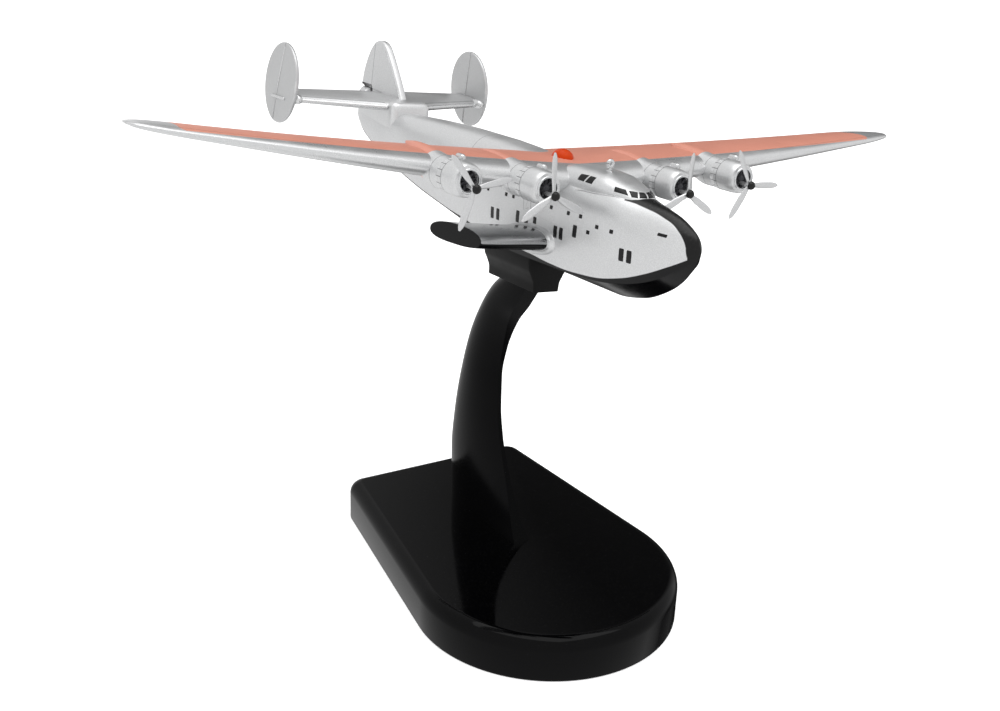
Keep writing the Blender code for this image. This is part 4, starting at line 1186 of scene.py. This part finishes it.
# %% Loop on the roof
LOOP_RADIUS = 0.42
LOOP_HEIGHT = 1.25
loop_place = at(-0.6, -9.6, -4.35)
turns = [2 * math.pi * i / 24 for i in range(25)]
loop = [(LOOP_RADIUS * math.cos(t), 0.0, LOOP_HEIGHT + LOOP_RADIUS * math.sin(t)) for t in turns]
rod("roof_loop", loop, 0.28, loop_place)
rod("roof_loop_post", [(0, 0, -0.4), (0, 0, 0.85)], 0.24, loop_place)
rod("roof_loop_foot", [(0, -0.5, -0.05), (0, -0.3, 0.08), (0, 0.3, 0.08), (0, 0.5, -0.05)], 0.3, loop_place)
print("loop made")

# %% [markdown]
# Round each sponson's root a fillet runs out from the hull. It is a loft of the sponson's own
# section, grown outwards, and it shrinks to the section a little way along.

# %% Sponson fillets
FILLET = [(5.1, 0.6), (5.4, 0.52), (5.65, 0.34), (5.9, 0.1), (6.3, 0.02)]
fillet_silver = silver_paint("fillet_silver")
fillet_x = np.linspace(5.1, 6.3, 10)
fillet_rows = list(zip(fillet_x, smooth_table(FILLET, fillet_x)[:, 0],
                       smooth_table(SPONSON_SECTIONS, fillet_x)))
for word, side in SIDES:
    rings = [sponson_ring(side * x, row, grow) for x, grow, row in fillet_rows]
    piece("sponson_fillet_" + word, skin("sponson_fillet", rings, sharp=60.0), fillet_silver)
print("fillets made")

# %% [markdown]
# The stand is three mouldings: a glossy base with a rounded top rim, a curved arm, and a matt
# cradle that holds the hull. The base keeps its solid's outline, with finer rims.

# %% Base of the stand
STAND_PLACE = Matrix.Identity(4)
BASE_FRONT_RADIUS = 21.5
BASE_BACK_Y = 40.4
BASE_BACK_WIDTH = 34.6
BASE_CORNER = 2.9
BASE_HEIGHT = 7.3
BASE_TOP_ROUND = 2.1
BASE_FOOT_ROUND = 0.4
half_back = 0.5 * BASE_BACK_WIDTH
taper = math.degrees(math.asin((BASE_FRONT_RADIUS - half_back) / BASE_BACK_Y))


def base_outline(inset):
    """The base's plan, drawn in by an inset, with the same number of points each time."""
    corner = max(0.05, BASE_CORNER - inset)
    back, across = BASE_BACK_Y - BASE_CORNER, half_back - BASE_CORNER
    outline = arc((0.0, 0.0), BASE_FRONT_RADIUS - inset, 180.0 - taper, 360.0 + taper, 96)
    outline += arc((across, back), corner, taper, 90.0, 14)
    return outline + arc((-across, back), corner, 90.0, 180.0 - taper, 14)


base_rings = []
for turn in np.linspace(0, 0.5 * math.pi, 6):
    inset = BASE_FOOT_ROUND * (1 - math.sin(turn))
    base_rings.append([(x, y, BASE_FOOT_ROUND * (1 - math.cos(turn))) for x, y in base_outline(inset)])
for turn in np.linspace(0, 0.5 * math.pi, 14):
    z = BASE_HEIGHT - BASE_TOP_ROUND * (1 - math.sin(turn))
    base_rings.append([(x, y, z) for x, y in base_outline(BASE_TOP_ROUND * (1 - math.cos(turn)))])
gloss_black = painted("stand_gloss_black", (0.0006, 0.0006, 0.0008), (0.0015, 0.0015, 0.0015), 0.2,
                      (0.05, 0.08), peel=0.02, dust=0.004, specular=0.1)
piece("base_skin", skin("stand_base", base_rings, sharp=45.0), gloss_black, place=STAND_PLACE,
      replaces=["stand_base"])
print("base rings:", len(base_rings))

# %% [markdown]
# The arm is narrow-fronted and round-backed, and it leans and thins on its way up. Its
# sections turn with it, so each is given by its front and back edge points.

# %% Arm: front edge y and z, back edge y and z, width, width of the front ridge
ARM_SECTIONS = [
    (7.4, 7.3, 31.3, 7.3, 5.1, 2.8),
    (9.2, 9.6, 31.4, 9.6, 4.9, 2.1),
    (12.7, 16.3, 31.6, 15.3, 4.7, 0.9),
    (15.5, 23.2, 30.7, 21.8, 4.6, 0.7),
    (16.4, 28.5, 29.3, 27.9, 4.6, 0.6),
    (16.5, 33.8, 27.5, 33.6, 4.6, 0.6),
    (15.4, 39.2, 25.2, 39.4, 4.6, 0.9),
    (13.2, 44.5, 21.8, 45.2, 4.7, 1.9),
    (10.5, 48.3, 18.4, 49.6, 4.5, 2.9),
    (6.4, 53.6, 13.0, 53.9, 4.1, 2.7),
]
ARM_WIDEST = 0.6
numbered = [(i, *row) for i, row in enumerate(ARM_SECTIONS)]
arm_at = np.linspace(0, len(ARM_SECTIONS) - 1, 64)
arm_rings = []
for front_y, front_z, back_y, back_z, width, ridge in smooth_table(numbered, arm_at):
    half = [(0.0, 0.0), (0.25 * ridge, 0.0), (0.5 * ridge, 0.0)]
    for i in range(1, 15):
        half.append((0.5 * (ridge + (width - ridge) * math.sin(0.5 * math.pi * i / 14)),
                     ARM_WIDEST * i / 14))
    for i in range(1, 16):
        turn = 0.5 * math.pi * i / 16
        half.append((0.5 * width * math.cos(turn), ARM_WIDEST + (1 - ARM_WIDEST) * math.sin(turn)))
    half.append((0.0, 1.0))
    arm_rings.append([(x, front_y + (back_y - front_y) * t,
                       front_z + (back_z - front_z) * t) for x, t in whole(half)])
satin_black = painted("stand_satin_black", (0.001, 0.001, 0.0012), (0.002, 0.002, 0.002), 0.2, (0.14, 0.2),
                      peel=0.03, dust=0.006, specular=0.05)
piece("arm_skin", skin("stand_arm", arm_rings, sharp=50.0), satin_black, place=STAND_PLACE,
      replaces=["stand_arm"])
print("arm rings:", len(arm_rings))

# %% [markdown]
# The cradle flares from the arm up to the hull and is matt, with a fine moulded texture.

# %% Cradle: z and half width of each level
CRADLE_LEVELS = [(-24.9, 2.3), (-23.7, 2.4), (-22.5, 2.9), (-21.3, 3.5), (-19.8, 3.7), (-19.0, 3.7)]
CRADLE_FRONT_Y, CRADLE_BACK_Y = 2.8, 15.6
CRADLE_CORNER = 0.35
cradle_z = np.linspace(-24.9, -19.0, 26)
cradle_rings = []
for z, (half_width,) in zip(cradle_z, smooth_table(CRADLE_LEVELS, cradle_z)):
    across = half_width - CRADLE_CORNER
    front, back = CRADLE_FRONT_Y + CRADLE_CORNER, CRADLE_BACK_Y - CRADLE_CORNER
    outline = []
    for k, corner in enumerate([(across, back), (-across, back), (-across, front), (across, front)]):
        outline += arc(corner, CRADLE_CORNER, 90 * k, 90 * k + 90, 5)
    cradle_rings.append([(x, y, z) for x, y in outline])
matt_black = painted("cradle_matt_black", (0.004, 0.004, 0.004), (0.01, 0.01, 0.01), 0.3, (0.38, 0.48),
                     peel=0.3, dust=0.01, specular=0.1)
piece("cradle_skin", skin("stand_cradle", cradle_rings, sharp=30.0), matt_black, replaces=["stand_cradle"])
print("cradle made")

# %% [markdown]
# The camera stands where the photograph's stood, to the front and starboard, above the table.
# Its place and turn come from fitting the stand and the wing to the photograph.

# %% Camera
VIEW_PLACE = Vector((-105.368, -163.122, 127.758)) * MM
VIEW_TURN = -0.52943
VIEW_DOWN = 0.40937
VIEW_ROLL = 0.0399
FOCAL_PIXELS = 1400.0
IMAGE_WIDTH = 1000.0
camera = bpy.data.objects.new("camera", bpy.data.cameras.new("camera"))
bpy.context.scene.collection.objects.link(camera)
right = Vector((math.cos(VIEW_TURN), math.sin(VIEW_TURN), 0.0))
back = Vector((math.sin(VIEW_TURN) * math.cos(VIEW_DOWN), -math.cos(VIEW_TURN) * math.cos(VIEW_DOWN),
               math.sin(VIEW_DOWN)))
up = back.cross(right)
rolled_right = right * math.cos(VIEW_ROLL) + up * math.sin(VIEW_ROLL)
rolled_up = up * math.cos(VIEW_ROLL) - right * math.sin(VIEW_ROLL)
turn = Matrix((rolled_right, rolled_up, back)).transposed().to_4x4()
camera.matrix_world = Matrix.Translation(VIEW_PLACE) @ turn
camera.data.sensor_width = 36.0
camera.data.lens = 36.0 * FOCAL_PIXELS / IMAGE_WIDTH
camera.data.clip_start = 0.001
bpy.context.scene.camera = camera
print("camera at", [round(v / MM, 1) for v in VIEW_PLACE])

# %% [markdown]
# The photograph is lit softly from above and from the left, against white. Large area lights do
# that. The surroundings are white to the camera. To reflections they are pale, with a dark
# patch behind and to port, and a wider dark patch below the horizon on that side, because black
# gloss shows whatever stands round it.

# %% Floor, light and surroundings
floor_mesh = bpy.data.meshes.new("floor")
floor_form = bmesh.new()
bmesh.ops.create_grid(floor_form, x_segments=2, y_segments=2, size=1.5)
floor_form.to_mesh(floor_mesh)
floor_form.free()
floor = bpy.data.objects.new("floor", floor_mesh)
bpy.context.scene.collection.objects.link(floor)
floor_look = bpy.data.materials.new("pale_floor")
floor_look.use_nodes = True
floor_shader = floor_look.node_tree.nodes["Principled BSDF"]
floor_shader.inputs["Base Color"].default_value = (0.9, 0.9, 0.9, 1.0)
floor_shader.inputs["Roughness"].default_value = 0.9
floor_shader.inputs["Emission Color"].default_value = (1.0, 1.0, 1.0, 1.0)
floor_shader.inputs["Emission Strength"].default_value = 0.55
floor_mesh.materials.append(floor_look)
floor.visible_glossy = False


def soft_light(name, place, aim, size, power):
    made = bpy.data.objects.new(name, bpy.data.lights.new(name, "AREA"))
    bpy.context.scene.collection.objects.link(made)
    made.data.shape = "RECTANGLE"
    made.data.size, made.data.size_y = size
    made.data.energy = power
    made.location = place
    made.rotation_euler = (Vector(aim) - Vector(place)).to_track_quat("-Z", "Y").to_euler()
    return made


MODEL_MIDDLE = (0.0, 0.01, 0.06)
soft_light("light_above", (0.02, 0.02, 0.6), MODEL_MIDDLE, (0.6, 0.5), 1.5)
soft_light("light_left", (-0.6, -0.1, 0.25), MODEL_MIDDLE, (0.5, 0.4), 0.8).visible_glossy = False
soft_light("light_front", (0.1, -0.6, 0.3), MODEL_MIDDLE, (0.5, 0.35), 0.5).visible_glossy = False
world = bpy.data.worlds.new("studio")
bpy.context.scene.world = world
world.use_nodes = True
sky = world.node_tree
background = sky.nodes["Background"]
seen = add(sky, "LightPath").outputs["Is Camera Ray"]
heading = add(sky, "TexCoord").outputs["Generated"]
DARK_SIDE = (0.69, 0.72, 0.0)
LOW_DARK_SIDE = (0.9, 0.43, 0.0)
FLATTEN = (1.0, 1.0, 0.4)


def vector_step(operation, first, second=None):
    node = sky.nodes.new("ShaderNodeVectorMath")
    node.operation = operation
    sky.links.new(first, node.inputs[0])
    if second:
        node.inputs[1].default_value = second
    return node.outputs


level = vector_step("NORMALIZE", vector_step("MULTIPLY", heading, FLATTEN)["Vector"])["Vector"]
glow = ramp(sky, vector_step("DOT_PRODUCT", level, DARK_SIDE)["Value"], 0.87, 0.955, 0.84, 0.1)
below = ramp(sky, add(sky, "SeparateXYZ", Vector=heading).outputs["Z"], -0.3, -0.02, 1.0, 0.0)
low_side = ramp(sky, vector_step("DOT_PRODUCT", level, LOW_DARK_SIDE)["Value"], 0.68, 0.88, 1.0, 0.1)
glow = times(sky, glow, ramp(sky, below, 0.0, 1.0, 1.0, low_side))
room = add(sky, "CombineColor", Red=glow, Green=glow, Blue=glow).outputs["Color"]
sky.links.new(blend_colour(sky, seen, room, (1.0, 1.0, 1.0, 1)), background.inputs["Color"])
bpy.context.scene.view_settings.view_transform = "Standard"
print("lights: 3, floor 3 m wide")
